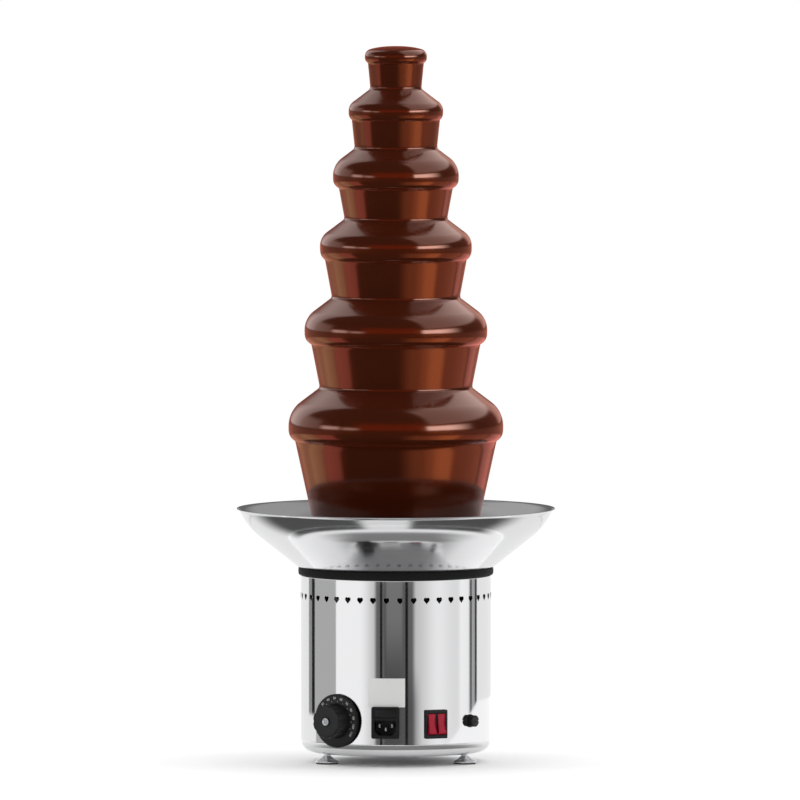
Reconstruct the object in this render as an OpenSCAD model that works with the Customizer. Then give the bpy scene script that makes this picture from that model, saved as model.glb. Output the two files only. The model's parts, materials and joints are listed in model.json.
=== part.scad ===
// Six-level chocolate fountain for a buffet: a polished pot with a gear motor and a heater inside,
// a wide bowl on top of it, and a lift-off tower in which an auger raises the chocolate.
// Millimetres. The origin is on the table, on the axis. +Z is up, the control panel faces -Y.

/* [Base] */
// Outer radius of the base shell
shell_r = 106.2; // [104:0.1:125]
// Height of the base shell, from its bottom to the top of its flange
shell_h = 197.5; // [190:0.5:240]
// Sheet thickness of the base shell
shell_t = 1; // [0.6:0.1:2]
// Radius of the rounded bottom corner of the base shell
shell_corner_r = 14; // [6:0.5:16]
// Width of the flange that turns inwards at the top of the base shell
flange_w = 18; // [16:0.5:19]
// Thickness of the deck that carries the gear motor
deck_t = 2; // [1.5:0.5:3]

/* [Heart-shaped vents] */
// Number of vents in the row
vent_count = 44; // [24:1:48]
// Width of one vent
vent_w = 7; // [4:0.1:9]
// Height of the row of vents above the table
vent_z = 186.2; // [170:0.1:192]

/* [Feet] */
// Clear height under the base shell
foot_h = 12; // [10:0.5:18]
// Radius of a foot's dome
foot_r = 13.2; // [10:0.1:16]
// Radius of a foot's threaded stud
stud_r = 4; // [3:0.5:5]
// Distance of the feet's centres in from the base shell's side
foot_inset = 22.2; // [22:0.1:36]
// Angle of each front foot from straight ahead
foot_spread = 66; // [55:1:70]

/* [Bowl] */
// Height of the black gasket between the base and the bowl
gasket_h = 9; // [8:0.5:14]
// Overhang of the gasket past the base shell
gasket_lip = 2.7; // [1:0.1:4]
// Outer radius of the bowl's rim
bowl_r = 177.8; // [172:0.1:190]
// Depth of the bowl outside
bowl_h = 65.4; // [60:0.1:72]
// Sheet thickness of the bowl
bowl_t = 1.2; // [0.8:0.1:2]
// Radius of the bowl's flat bottom
bowl_floor_r = 109.2; // [104:0.1:112]
// Angle by which the bowl's lower wall is flatter than a line from its floor to its rim
bowl_dip = 5.1; // [3:0.1:7]
// Angle by which the bowl's upper wall curves up from the lower one
bowl_turn = 27.6; // [22:0.1:34]
// Depth of chocolate in the bowl
pool_h = 27.3; // [20:0.1:30]

/* [Tower] */
// Outer radius of the tower tube
tube_r = 22; // [20:0.1:22]
// Wall of the tower tube
tube_t = 1.5; // [1:0.1:2]
// Thickness of the flowing chocolate
choc_t = 2.4; // [1.5:0.1:2.6]
// Sheet thickness of the crowns
crown_t = 1.2; // [0.8:0.1:1.4]
// Radius of the chocolate on each crown, from the lowest up, and of the outlet on top
crown_r = [119.9, 102, 84.7, 70.2, 52.7, 34.6]; // [30:0.1:130]
// Height above the bowl's floor at which each crown's side starts to curve in
crown_z = [155.9, 263.3, 357.3, 435.6, 508.3, 569.3]; // [100:0.1:600]
// Height of the upright band below that
band_h = [8.2, 7.3, 9.2, 6.4, 6.2, 4]; // [2:0.1:12]
// Radius of the lip under the band, from which the chocolate falls
lip_r = [8.5, 8.8, 6.2, 7.6, 3.6, 3.5]; // [3:0.1:10]
// Radius of each crown's shoulder
shoulder_r = [33.5, 26.6, 19, 24.8, 12.4, 8]; // [6:0.1:40]
// Radius at which the curtain from above lands on each crown
neck_r = [84.9, 71.3, 57.2, 45.9, 28.4]; // [28:0.1:90]
// Rise from the start of each shoulder to where that curtain lands
neck_rise = [43.1, 36.4, 30.2, 30.7, 24.6]; // [15:0.1:50]
// Radius at which the lowest curtain lands in the bowl
landing_r = 88; // [70:0.1:100]
// Height of the tower above the bowl's floor, with the chocolate on it
tower_h = 580.3; // [578:0.1:600]

/* [Auger] */
// Gap between the auger and the tube
auger_gap = 1; // [0.6:0.1:2]
// Radius of the auger's shaft
core_r = 7; // [6.5:0.5:9]
// Rise of the auger in one turn
auger_pitch = 40; // [30:1:60]
// Thickness of the auger's flight
flight_t = 2; // [1.5:0.5:4]

/* [Drive] */
// Radius of the drive shaft
drive_r = 5; // [4:0.5:5.5]
// Teeth of both pinions
pinion_teeth = 14; // [14:1:16]
// Teeth of both large gears
gear_teeth = 56; // [50:2:58]
// Module of the gears
gear_module = 0.8; // [0.75:0.05:0.85]
// Width of the gears' faces
gear_w = 6; // [5:0.5:8]
// Radius of the motor can
motor_r = 36; // [35:0.5:40]
// Length of the motor can
motor_h = 74; // [65:1:80]

/* [Control panel] */
// Height of the fittings above the table
panel_z = 50.5; // [48:0.5:70]
// Angle of the thermostat knob, to the left of straight ahead
knob_angle = 37.5; // [34:0.5:45]
// Radius of the knob's dial skirt
dial_r = 29; // [22:0.5:30]
// Radius of the knob's grip
grip_r = 19.6; // [12:0.1:20]
// Height of the knob, skirt and grip together
knob_h = 22; // [15:0.5:26]
// Angle of the mains inlet, to the left of straight ahead
inlet_angle = 6.2; // [5:0.1:8]
// Width of the mains inlet's bezel
inlet_w = 31.5; // [30:0.5:34]
// Height of the mains inlet's bezel
inlet_h = 35.5; // [35:0.5:38]
// Angle of the double switch, to the right of straight ahead
switch_angle = 24.6; // [23:0.1:27]
// Width of the double switch's bezel
switch_w = 26.5; // [26:0.5:30]
// Height of the double switch's bezel
switch_h = 32; // [31:0.5:36]
// Angle of the fuse holder, to the right of straight ahead
fuse_angle = 51; // [46:0.5:60]
// Radius of the fuse holder's flange
fuse_r = 7.3; // [7:0.1:9]

/* [Hidden] */
$fn = 96;

// Clearances
fit = 0.05; // radial, between a shaft and its bore
slip = 0.3; // around a piece in its cut-out
air = 1; // between pieces that turn past each other

// Heights
deck_z = foot_h + shell_h;
bowl_z = deck_z + gasket_h;
floor_z = bowl_z + bowl_t;

// Deck and its fasteners
deck_r = shell_r - 6;
flange_in_r = shell_r - flange_w;
shaft_hole_r = drive_r + 3;
deck_screw_r = 2;
deck_screw_reach = flange_in_r + 3.5;
deck_screw_count = 6;
nut_h = 3.2;
head_h = 2.2;
gasket_grip = 4.5; // how far the gasket reaches over the deck's edge

// Bowl's fasteners and heater
bowl_stud_r = 2.5;
bowl_stud_reach = flange_in_r - 5.5;
bowl_stud_angles = [90, 210, 330];
heater_h = 6;
heater_in_r = 45;
heater_out_r = bowl_stud_reach - bowl_stud_r - 4;
bush_r = 10;
bush_flange_r = 15;
bush_rise = 10;
cutout_r = 7.5;
cutout_reach = heater_in_r - cutout_r - 2;

// Tower's foot
foot_ring_r = tube_r + 12;
foot_ring_t = 3;
peg_r = 2.5;
peg_h = 8;
peg_reach = tube_r + 7;
peg_angles = [30, 150, 270];
slot_w = 16;
slot_h = 22;
slot_angles = [0, 90, 180, 270];
stop_h = 5;

// Crowns
hub_r = tube_r + 0.2;
hub_h = 10;
sleeve_t = 1.5;
lip_turn = 70; // angle of the lip's arc
coat_in = 1.5; // how far the coat reaches inside the curtain that lands on it
edge_h = 1; // how far a crown's edge reaches below its band
arc_steps = 8;
outlet_turn = 76;
outlet_collar_h = 14;
outlet_drop = 3; // outlet's rim below the start of the chocolate's shoulder
tube_top_z = crown_z[5] + floor_z - 6;

// Auger
auger_r = tube_r - tube_t - auger_gap;
auger_z = floor_z + bush_rise + air;
auger_top_z = tube_top_z - air;
socket_h = 24;
flight_z = auger_z + 2;
flight_end = 6; // bare end of the shaft above the flight
flight_turn_steps = 24;

// Gear train, measured down from the deck
pressure_angle = 25;
backlash = 0.1;
flank_steps = 3;
axis_gap = gear_module * (pinion_teeth + gear_teeth) / 2;
gear_r = gear_module * gear_teeth / 2;
cover_t = 3;
case_floor_t = 3;
case_r = gear_r + gear_module + 4;
case_t = 2.4;
output_z = deck_z - cover_t - air - gear_w;
idler_z = output_z - 1.5 - gear_w;
case_z = idler_z - air - case_floor_t;
idler_pin_r = 3;
pin_seat = 2;

// Motor
motor_shaft_r = 4;
motor_t = 1.5;
motor_top_t = 4;
motor_z = case_z - motor_h;
stator_h = 40;
stator_z = motor_z + (motor_h - stator_h) / 2 - 1;
rotor_r = 20;
rotor_gap = 0.6;
bell_h = 12;
post_r = 2.6;
post_reach = case_r + post_r + 0.8;
post_angles = [0, 180, 240, 300];
motor_screw_r = 1.6;
capacitor_r = 14;
capacitor_h = 60;
capacitor_inset = 48.2; // centre in from the shell's side
capacitor_at = [capacitor_inset - shell_r, 22];

// Knob and thermostat
knob_z = panel_z + 1.2;
knob_gap = 0.8;
skirt_t = 3.6;
skirt_teeth = 72;
skirt_tooth = 0.7;
grip_taper = 1.2;
grip_edge = 1.2;
cap_r = 4.5;
cap_t = 1.2;
spindle_r = 3;
neck_tube_r = 5;
thermostat_r = 16;
thermostat_h = 24;
thermostat_back = sqrt(pow(shell_r - shell_t, 2) - pow(thermostat_r, 2)) - 0.1;
bulb_r = 2.4;
bulb_l = 22;
capillary_r = 1;
capillary_reach = bowl_stud_reach;

// Inlet
bezel_t = 3;
inlet_z = panel_z + 0.5;
inlet_body_w = 27;
inlet_body_h = 32;
inlet_body_d = 30;
socket_w = 24.4;
socket_rise = 16.6;
socket_chamfer = 4.6;
socket_d = 16.5;
socket_drop = 5.8; // socket's centre below the bezel's
pin_pitch = 14;
pin_w = 2;
pin_h = 4;
earth_drop = 4;
pin_rise = 2; // live and neutral above the socket's centre
pin_tip = 6.5; // tips behind the bezel's face
tab_l = 8;

// Switch
switch_z = panel_z - 1.6;
switch_body_w = 23;
switch_body_h = 28;
switch_body_d = 20;
rocker_w = 9.2;
rocker_gap = 2; // wall between the rockers
rocker_r = 11.9;
rocker_tilt = 10;
rocker_back = 4;
rocker_pivot_d = 3; // pivot behind the bezel's face
rocker_pin_r = 1;
rocker_pin_l = 0.8;

// Fuse holder
fuse_z = panel_z;
fuse_flange_t = 1.6;
fuse_body_r = 6;
fuse_body_d = 34;
fuse_bore_r = 4.2;
fuse_cap_r = 6.4;
fuse_cap_h = 6;
fuse_cap_teeth = 28;
fuse_stem_r = fuse_bore_r - 0.1;
fuse_stem_d = 8;
fuse_link_r = 2.6;
fuse_link_l = 20;

// Feet
foot_reach = shell_r - foot_inset;
foot_angles = [foot_spread, -foot_spread, 180];
foot_dome_h = foot_h - 4.2;
foot_rim_h = 2.2;
sole_r = foot_r - 1;
stud_top_z = foot_h + 24;
foot_nut_r = 7.6;
foot_nut_h = 6;

// Places a piece on the panel: local Z points outwards and local Y points up
module on_panel(angle, r, z) {
    rotate([0, 0, angle]) translate([0, -r, z]) rotate([90, 0, 0]) children();
}

module ring(r_out, r_in, h) {
    difference() {
        cylinder(r = r_out, h = h);
        translate([0, 0, -1]) cylinder(r = r_in, h = h + 2);
    }
}

module spread(angles, reach) {
    for (a = angles) rotate([0, 0, a]) translate([reach, 0, 0]) children();
}

module evenly(count, reach) {
    for (i = [0 : count - 1]) rotate([0, 0, 360 * i / count]) translate([reach, 0, 0]) children();
}

// A flat-fronted block whose back is cut to the shell's curve
module saddle(angle, w, h, z, front) {
    difference() {
        on_panel(angle, shell_r + front, z) translate([-w / 2, -h / 2, -front - 3]) cube([w, h, front + 3]);
        translate([0, 0, z - h]) cylinder(r = shell_r, h = 2 * h);
    }
}

// Outline of the base shell, drawn in by o on its outside
function shell_outline(o) = concat(
    [[0, foot_h + o], [shell_r - shell_corner_r, foot_h + o]],
    [for (i = [1 : arc_steps]) let (a = 90 * i / arc_steps, r = shell_corner_r - o)
        [shell_r - shell_corner_r + r * sin(a), foot_h + shell_corner_r - r * cos(a)]],
    [[shell_r - o, deck_z - o]]);

module heart(w) {
    s = w / 1.707;
    rotate(45) square(s, center = true);
    for (x = [-1, 1]) translate([x, 1] * s / sqrt(8)) circle(r = s / 2, $fn = 24);
}

module base_shell() {
    color("silver") difference() {
        rotate_extrude() polygon(concat(shell_outline(0),
            [[flange_in_r, deck_z], [flange_in_r, deck_z - shell_t]],
            [[shell_r - shell_t, deck_z - shell_t]],
            [for (i = [len(shell_outline(shell_t)) - 2 : -1 : 0]) shell_outline(shell_t)[i]]));
        for (i = [0 : vent_count - 1])
            on_panel(2.5 + 360 * i / vent_count, shell_r - 5, vent_z)
                linear_extrude(10) heart(vent_w);
        evenly(deck_screw_count, deck_screw_reach)
            translate([0, 0, deck_z - 5]) cylinder(r = deck_screw_r + 0.1, h = 10);
        for (a = foot_angles) on_foot(a) translate([0, 0, foot_h - 5])
            cylinder(r = stud_r + 0.5, h = 10);
        on_panel(-knob_angle, shell_r - 8, knob_z) cylinder(r = neck_tube_r + 0.1, h = 16);
        on_panel(-inlet_angle, shell_r - 8, inlet_z)
            translate([-inlet_body_w / 2 - slip, -inlet_body_h / 2 - slip, 0])
                cube([inlet_body_w + 2 * slip, inlet_body_h + 2 * slip, 16]);
        on_panel(switch_angle, shell_r - 8, switch_z)
            translate([-switch_body_w / 2 - slip, -switch_body_h / 2 - slip, 0])
                cube([switch_body_w + 2 * slip, switch_body_h + 2 * slip, 16]);
        on_panel(fuse_angle, shell_r - 8, fuse_z) cylinder(r = fuse_body_r + 0.1, h = 16);
    }
}

module on_foot(a) {
    rotate([0, 0, a]) translate([0, -foot_reach, 0]) children();
}

module foot_nuts() {
    color("gainsboro") for (a = foot_angles) on_foot(a) translate([0, 0, foot_h + shell_t])
        difference() {
            cylinder(r = foot_nut_r, h = foot_nut_h, $fn = 6);
            translate([0, 0, -1]) cylinder(r = stud_r + fit, h = foot_nut_h + 2);
        }
}

module deck_plate() {
    color("lightgray") difference() {
        translate([0, 0, deck_z]) cylinder(r = deck_r, h = deck_t);
        translate([0, 0, deck_z - 1]) {
            cylinder(r = shaft_hole_r, h = deck_t + 2);
            evenly(deck_screw_count, deck_screw_reach) cylinder(r = deck_screw_r + 0.1, h = deck_t + 2);
            spread(bowl_stud_angles, bowl_stud_reach) cylinder(r = bowl_stud_r + 0.2, h = deck_t + 2);
            spread(post_angles, post_reach) cylinder(r = motor_screw_r + 0.1, h = deck_t + 2);
            rotate([0, 0, -knob_angle]) translate([0, -capillary_reach, 0])
                cylinder(r = capillary_r + 0.5, h = deck_t + 2);
        }
    }
}

module deck_screws() {
    color("silver") evenly(deck_screw_count, deck_screw_reach) {
        translate([0, 0, deck_z + deck_t]) cylinder(r = deck_screw_r + 1.2, h = head_h);
        translate([0, 0, deck_z - shell_t - nut_h - 2]) cylinder(r = deck_screw_r, h = nut_h + 5 + deck_t);
        translate([0, 0, deck_z - shell_t - nut_h]) cylinder(r = deck_screw_r + 1.3, h = nut_h, $fn = 6);
    }
}

module bowl_gasket() {
    inner_r = deck_r - gasket_grip;
    color([0.08, 0.08, 0.08]) rotate_extrude() polygon([
        [deck_r, deck_z], [shell_r + gasket_lip - 2.5, deck_z],
        for (i = [0 : arc_steps]) let (a = 90 * i / arc_steps)
            [shell_r + gasket_lip - 2.5 * (1 - sin(a)), deck_z + 2.5 * (1 - cos(a))],
        [shell_r + gasket_lip, bowl_z], [inner_r, bowl_z],
        [inner_r, deck_z + deck_t], [deck_r, deck_z + deck_t]]);
}

// The bowl's upper curve: its start on the straight wall, its radius and its centre
rim_w = 3.8;
rim_drop = 3.4;
curve_end = [bowl_r - rim_w, bowl_h - rim_drop];
bowl_slope = atan2(curve_end[1], curve_end[0] - bowl_floor_r) - bowl_dip;
chord_angle = bowl_slope + bowl_turn / 2;
curve_start_r = (curve_end[1] - curve_end[0] * tan(chord_angle) + bowl_floor_r * tan(bowl_slope))
    / (tan(bowl_slope) - tan(chord_angle));
curve_start = [curve_start_r, (curve_start_r - bowl_floor_r) * tan(bowl_slope)];
curve_r = norm(curve_end - curve_start) / 2 / sin(bowl_turn / 2);
curve_centre = curve_start + curve_r * [-sin(bowl_slope), cos(bowl_slope)];

// Bowl's outline from the flat bottom to the rim, set in by o from the outside
function bowl_wall(o) = concat(
    [[bowl_floor_r - o * tan(bowl_slope / 2), o]],
    [for (i = [0 : arc_steps]) let (a = bowl_slope + bowl_turn * i / arc_steps)
        curve_centre + (curve_r - o) * [sin(a), -cos(a)]]);

module bowl() {
    inner = bowl_wall(bowl_t);
    color("silver") difference() {
        translate([0, 0, bowl_z]) rotate_extrude() polygon(concat(
            [[bush_r, 0]], bowl_wall(0), [[bowl_r, bowl_h - bowl_t], [bowl_r, bowl_h],
                [bowl_r - rim_w + 1, bowl_h]],
            [for (i = [len(inner) - 1 : -1 : 0]) inner[i]], [[bush_r, bowl_t]]));
        translate([0, 0, bowl_z - 1]) spread(peg_angles, peg_reach) cylinder(r = peg_r - 1, h = bowl_t + 2);
    }
}

module locating_pegs() {
    color("gainsboro") spread(peg_angles, peg_reach) {
        translate([0, 0, floor_z]) cylinder(r = peg_r, h = peg_h);
        translate([0, 0, bowl_z]) cylinder(r = peg_r - 1, h = bowl_t);
    }
}

module bowl_studs() {
    color("gainsboro") spread(bowl_stud_angles, bowl_stud_reach) {
        translate([0, 0, deck_z - nut_h - 3]) cylinder(r = bowl_stud_r, h = nut_h + 3 + gasket_h);
        translate([0, 0, deck_z - nut_h]) cylinder(r = bowl_stud_r + 2, h = nut_h, $fn = 6);
    }
}

module heater_ring() {
    color("dimgray") translate([0, 0, bowl_z - heater_h]) ring(heater_out_r, heater_in_r, heater_h);
}

module thermal_cutout() {
    color([0.2, 0.2, 0.2]) translate([0, -cutout_reach, 0]) {
        translate([0, 0, bowl_z - heater_h]) cylinder(r = cutout_r - 1.5, h = heater_h - 2);
        translate([0, 0, bowl_z - 2]) cylinder(r = cutout_r, h = 2);
        for (x = [-3, 3]) translate([x - 0.4, -3, bowl_z - heater_h - 0.8]) cube([0.8, 6, 1]);
    }
}

module shaft_bush() {
    color("white") difference() {
        union() {
            translate([0, 0, bowl_z - gasket_h + deck_t + 0.5])
                cylinder(r = bush_r, h = gasket_h - deck_t - 0.5 + bowl_t);
            translate([0, 0, floor_z]) cylinder(r = bush_flange_r, h = 3);
            translate([0, 0, floor_z]) cylinder(r = bush_r, h = bush_rise);
        }
        translate([0, 0, deck_z]) cylinder(r = drive_r + fit, h = gasket_h + bowl_t + bush_rise + 1);
    }
}

module bush_nut() {
    color("silver") difference() {
        translate([0, 0, bowl_z - 5]) cylinder(r = bush_r + 5, h = 5, $fn = 6);
        translate([0, 0, bowl_z - 6]) cylinder(r = bush_r, h = 7);
    }
}

module stadium(r) {
    circle(r = r);
    translate([0, axis_gap]) circle(r = r);
    translate([-r, 0]) square([2 * r, axis_gap]);
}

module motor_posts() {
    color("silver") spread(post_angles, post_reach) translate([0, 0, case_z])
        ring(post_r, motor_screw_r, deck_z - case_z);
}

module motor_screws() {
    color("gray") spread(post_angles, post_reach) {
        translate([0, 0, deck_z + deck_t]) cylinder(r = 2 * motor_screw_r, h = head_h);
        translate([0, 0, case_z - motor_top_t + 1])
            cylinder(r = motor_screw_r, h = deck_z + deck_t - case_z + motor_top_t - 1);
    }
}

module gearbox_case() {
    color("lightsteelblue") difference() {
        translate([0, 0, case_z]) linear_extrude(deck_z - cover_t - case_z) stadium(case_r);
        translate([0, 0, case_z + case_floor_t]) linear_extrude(60) stadium(case_r - case_t);
        translate([0, 0, case_z - 1]) cylinder(r = motor_shaft_r + 3, h = 6);
        translate([0, axis_gap, case_z + case_floor_t - pin_seat]) cylinder(r = idler_pin_r, h = 6);
    }
}

module gearbox_cover() {
    color("lightsteelblue") difference() {
        translate([0, 0, deck_z - cover_t]) linear_extrude(cover_t) stadium(case_r);
        translate([0, 0, deck_z - cover_t - 1]) cylinder(r = drive_r + fit, h = cover_t + 2);
        translate([0, axis_gap, deck_z - cover_t - 1]) cylinder(r = idler_pin_r, h = 1 + pin_seat);
    }
}

module idler_pin() {
    color("gray") translate([0, axis_gap, case_z + case_floor_t - pin_seat])
        cylinder(r = idler_pin_r, h = deck_z - cover_t - case_z - case_floor_t + 2 * pin_seat);
}

// Involute of a gear: half the angle that a tooth spans at radius r
function roll(base, r) = r > base ? let (c = base / r) tan(acos(c)) * 180 / PI - acos(c) : 0;
function half_tooth(teeth, r) = let (pitch = gear_module * teeth / 2, base = pitch * cos(pressure_angle))
    90 / teeth - backlash / 4 / pitch * 180 / PI + roll(base, pitch) - roll(base, r);
function polar(r, a) = [r * cos(a), r * sin(a)];
function gear_points(teeth) = let (
    pitch = gear_module * teeth / 2,
    tip = pitch + gear_module,
    root = pitch - 1.25 * gear_module,
    low = max(root, pitch * cos(pressure_angle)),
    radii = [for (i = [0 : flank_steps]) low + (tip - low) * i / flank_steps])
    [for (k = [0 : teeth - 1]) let (a = 360 * k / teeth) each concat(
        [polar(root, a - half_tooth(teeth, low))],
        [for (i = [0 : flank_steps]) polar(radii[i], a - half_tooth(teeth, radii[i]))],
        [for (i = [flank_steps : -1 : 0]) polar(radii[i], a + half_tooth(teeth, radii[i]))],
        [polar(root, a + half_tooth(teeth, low))])];

// A spur gear with a tooth centred on the angle given
module spur(teeth, w, angle) {
    rotate([0, 0, angle]) linear_extrude(w) polygon(gear_points(teeth));
}

module output_gear() {
    color("goldenrod") difference() {
        translate([0, 0, output_z]) spur(gear_teeth, gear_w, 90);
        translate([0, 0, output_z - 1]) cylinder(r = drive_r, h = gear_w + 2);
    }
}

module drive_shaft() {
    color("gray") translate([0, 0, output_z]) cylinder(r = drive_r, h = auger_z + socket_h - output_z);
}

module idler_gear() {
    color("goldenrod") difference() {
        translate([0, axis_gap, idler_z]) {
            spur(gear_teeth, gear_w, 270);
            translate([0, 0, gear_w]) spur(pinion_teeth, gear_w + 1.5, 270 + 180 / pinion_teeth);
        }
        translate([0, axis_gap, idler_z - 1]) cylinder(r = idler_pin_r + fit, h = 2 * gear_w + 5);
    }
}

module motor_rotor() {
    color("gray") {
        translate([0, 0, idler_z]) spur(pinion_teeth, gear_w, 90 + 180 / pinion_teeth);
        translate([0, 0, motor_z + 4]) cylinder(r = motor_shaft_r, h = idler_z - motor_z - 4);
        translate([0, 0, stator_z - 1]) cylinder(r = rotor_r, h = stator_h + 2);
    }
}

module motor_can() {
    color("darkslategray") difference() {
        translate([0, 0, motor_z + bell_h]) cylinder(r = motor_r, h = motor_h - bell_h);
        translate([0, 0, motor_z]) cylinder(r = motor_r - motor_t, h = motor_h - motor_top_t);
        translate([0, 0, case_z - motor_top_t - 1]) cylinder(r = motor_shaft_r + fit, h = motor_top_t + 2);
        spread(post_angles, post_reach) translate([0, 0, case_z - motor_top_t + 1])
            cylinder(r = motor_screw_r, h = motor_top_t);
    }
}

module motor_stator() {
    color("peru") translate([0, 0, stator_z])
        ring(motor_r - motor_t, rotor_r + rotor_gap, stator_h);
}

module motor_end_bell() {
    color("darkslategray") difference() {
        translate([0, 0, motor_z]) cylinder(r = motor_r, h = bell_h);
        translate([0, 0, motor_z + 8]) cylinder(r = motor_r - motor_t, h = bell_h);
        translate([0, 0, motor_z + 3]) cylinder(r = motor_shaft_r + fit, h = bell_h);
    }
}

module run_capacitor() {
    color("whitesmoke") translate([capacitor_at[0], capacitor_at[1], deck_z - capacitor_h]) {
        cylinder(r = capacitor_r, h = capacitor_h - 2);
        translate([0, 0, capacitor_h - 2]) cylinder(r = 4, h = 2);
        for (x = [-5, 5]) translate([x - 0.4, -3, -7]) cube([0.8, 6, 8]);
    }
}

module thermostat_body() {
    color("beige") difference() {
        union() {
            on_panel(-knob_angle, thermostat_back - thermostat_h, knob_z)
                cylinder(r = thermostat_r, h = thermostat_h);
            on_panel(-knob_angle, thermostat_back - 1, knob_z)
                cylinder(r = neck_tube_r, h = shell_r - thermostat_back + 1 + knob_gap / 2);
        }
        on_panel(-knob_angle, thermostat_back - thermostat_h + 6, knob_z)
            cylinder(r = spindle_r + fit, h = 60);
    }
}

module capillary_bulb() {
    bulb_z = bowl_z - bulb_r - 0.1;
    color("peru") rotate([0, 0, -knob_angle]) translate([0, -capillary_reach, 0]) {
        translate([-bulb_l / 2, 0, bulb_z]) rotate([0, 90, 0]) cylinder(r = bulb_r, h = bulb_l);
        translate([0, 0, knob_z + thermostat_r - 0.2])
            cylinder(r = capillary_r, h = bulb_z - knob_z - thermostat_r);
    }
}

module socket_outline() {
    x = socket_w / 2;
    y = socket_rise / 2;
    c = socket_chamfer;
    polygon([[-x, y], [x, y], [x, c - y], [x - c, -y], [c - x, -y], [-x, c - y]]);
}

module on_pins() {
    on_panel(-inlet_angle, shell_r + bezel_t, inlet_z - socket_drop) {
        for (x = [-1, 1]) translate([x * pin_pitch / 2, pin_rise, 0]) children();
        translate([0, pin_rise - earth_drop, 0]) children();
    }
}

module power_inlet() {
    color([0.1, 0.1, 0.1]) difference() {
        union() {
            saddle(-inlet_angle, inlet_w, inlet_h, inlet_z, bezel_t);
            on_panel(-inlet_angle, shell_r - inlet_body_d, inlet_z)
                translate([-inlet_body_w / 2, -inlet_body_h / 2, 0])
                    cube([inlet_body_w, inlet_body_h, inlet_body_d + 1]);
        }
        on_panel(-inlet_angle, shell_r + bezel_t - socket_d, inlet_z - socket_drop)
            linear_extrude(socket_d + 2) socket_outline();
        on_pins() translate([-pin_w / 2, -pin_h / 2, -60]) cube([pin_w, pin_h, 60]);
    }
}

module inlet_pins() {
    color("silver") on_pins() translate([-pin_w / 2, -pin_h / 2, -inlet_body_d - bezel_t - tab_l])
        cube([pin_w, pin_h, inlet_body_d + bezel_t + tab_l - pin_tip]);
}

rocker_x = (rocker_w + rocker_gap) / 2 + slip / 2;

module on_rocker(side) {
    on_panel(switch_angle, shell_r + bezel_t - rocker_pivot_d, switch_z)
        translate([side * rocker_x, 0, 0]) rotate([0, 90, 0]) children();
}

module switch_housing() {
    bay_w = rocker_w + slip;
    bay_h = 2 * rocker_r + slip + 0.3;
    color([0.07, 0.07, 0.07]) difference() {
        union() {
            saddle(switch_angle, switch_w, switch_h, switch_z, bezel_t);
            on_panel(switch_angle, shell_r - switch_body_d, switch_z)
                translate([-switch_body_w / 2, -switch_body_h / 2, 0])
                    cube([switch_body_w, switch_body_h, switch_body_d + 1]);
        }
        for (s = [-1, 1]) {
            on_panel(switch_angle, shell_r + bezel_t - rocker_pivot_d - rocker_back - 4, switch_z)
                translate([s * rocker_x - bay_w / 2, -bay_h / 2, 0]) cube([bay_w, bay_h, 40]);
            on_rocker(s) translate([0, 0, -bay_w / 2 - rocker_pin_l])
                cylinder(r = rocker_pin_r + fit, h = bay_w + 2 * rocker_pin_l);
        }
    }
}

// Side view of a rocker about its pivot: a shallow V in front, round ends, flat back
module rocker_outline() {
    intersection() {
        circle(r = rocker_r);
        polygon([[rocker_back, -20], [rocker_back, 20], [-rocker_pivot_d - 0.4 - 20 * tan(rocker_tilt), 20],
            [-rocker_pivot_d - 0.4, 0], [-rocker_pivot_d - 0.4 - 20 * tan(rocker_tilt), -20]]);
    }
}

module rocker(side) {
    color([0.75, 0.05, 0.08]) on_rocker(side) rotate([0, 0, -rocker_tilt]) {
        translate([0, 0, -rocker_w / 2]) linear_extrude(rocker_w) rocker_outline();
        translate([0, 0, -rocker_w / 2 - rocker_pin_l])
            cylinder(r = rocker_pin_r, h = rocker_w + 2 * rocker_pin_l);
    }
}

module heat_rocker() {
    rocker(-1);
}

module motor_rocker() {
    rocker(1);
}

module fuse_holder() {
    color([0.08, 0.08, 0.08]) difference() {
        union() {
            on_panel(fuse_angle, shell_r, fuse_z) cylinder(r = fuse_r, h = fuse_flange_t);
            on_panel(fuse_angle, shell_r - fuse_body_d, fuse_z)
                cylinder(r = fuse_body_r, h = fuse_body_d + 0.5);
            on_panel(fuse_angle, shell_r - shell_t - 5.5, fuse_z)
                cylinder(r = fuse_body_r + 2.4, h = 4, $fn = 6);
        }
        on_panel(fuse_angle, shell_r - fuse_body_d + 2, fuse_z)
            cylinder(r = fuse_bore_r, h = fuse_body_d + 10);
    }
}

module fuse_cap() {
    color([0.1, 0.1, 0.1]) difference() {
        union() {
            on_panel(fuse_angle, shell_r + fuse_flange_t + slip, fuse_z)
                linear_extrude(fuse_cap_h) polygon([for (i = [0 : 2 * fuse_cap_teeth - 1])
                    polar(fuse_cap_r - (i % 2) * 0.5, 180 * i / fuse_cap_teeth)]);
            on_panel(fuse_angle, shell_r - fuse_stem_d, fuse_z)
                cylinder(r = fuse_stem_r, h = fuse_stem_d + fuse_flange_t + slip + 1);
        }
        on_panel(fuse_angle, shell_r - fuse_stem_d - 1, fuse_z) cylinder(r = fuse_link_r, h = 7);
        on_panel(fuse_angle, shell_r + fuse_flange_t + slip + fuse_cap_h - 1.2, fuse_z)
            translate([-fuse_cap_r, -0.6, 0]) cube([2 * fuse_cap_r, 1.2, 3]);
    }
}

module fuse_link() {
    color("silver") on_panel(fuse_angle, shell_r - fuse_stem_d + 6 - fuse_link_l, fuse_z)
        cylinder(r = fuse_link_r, h = fuse_link_l);
}

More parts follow.
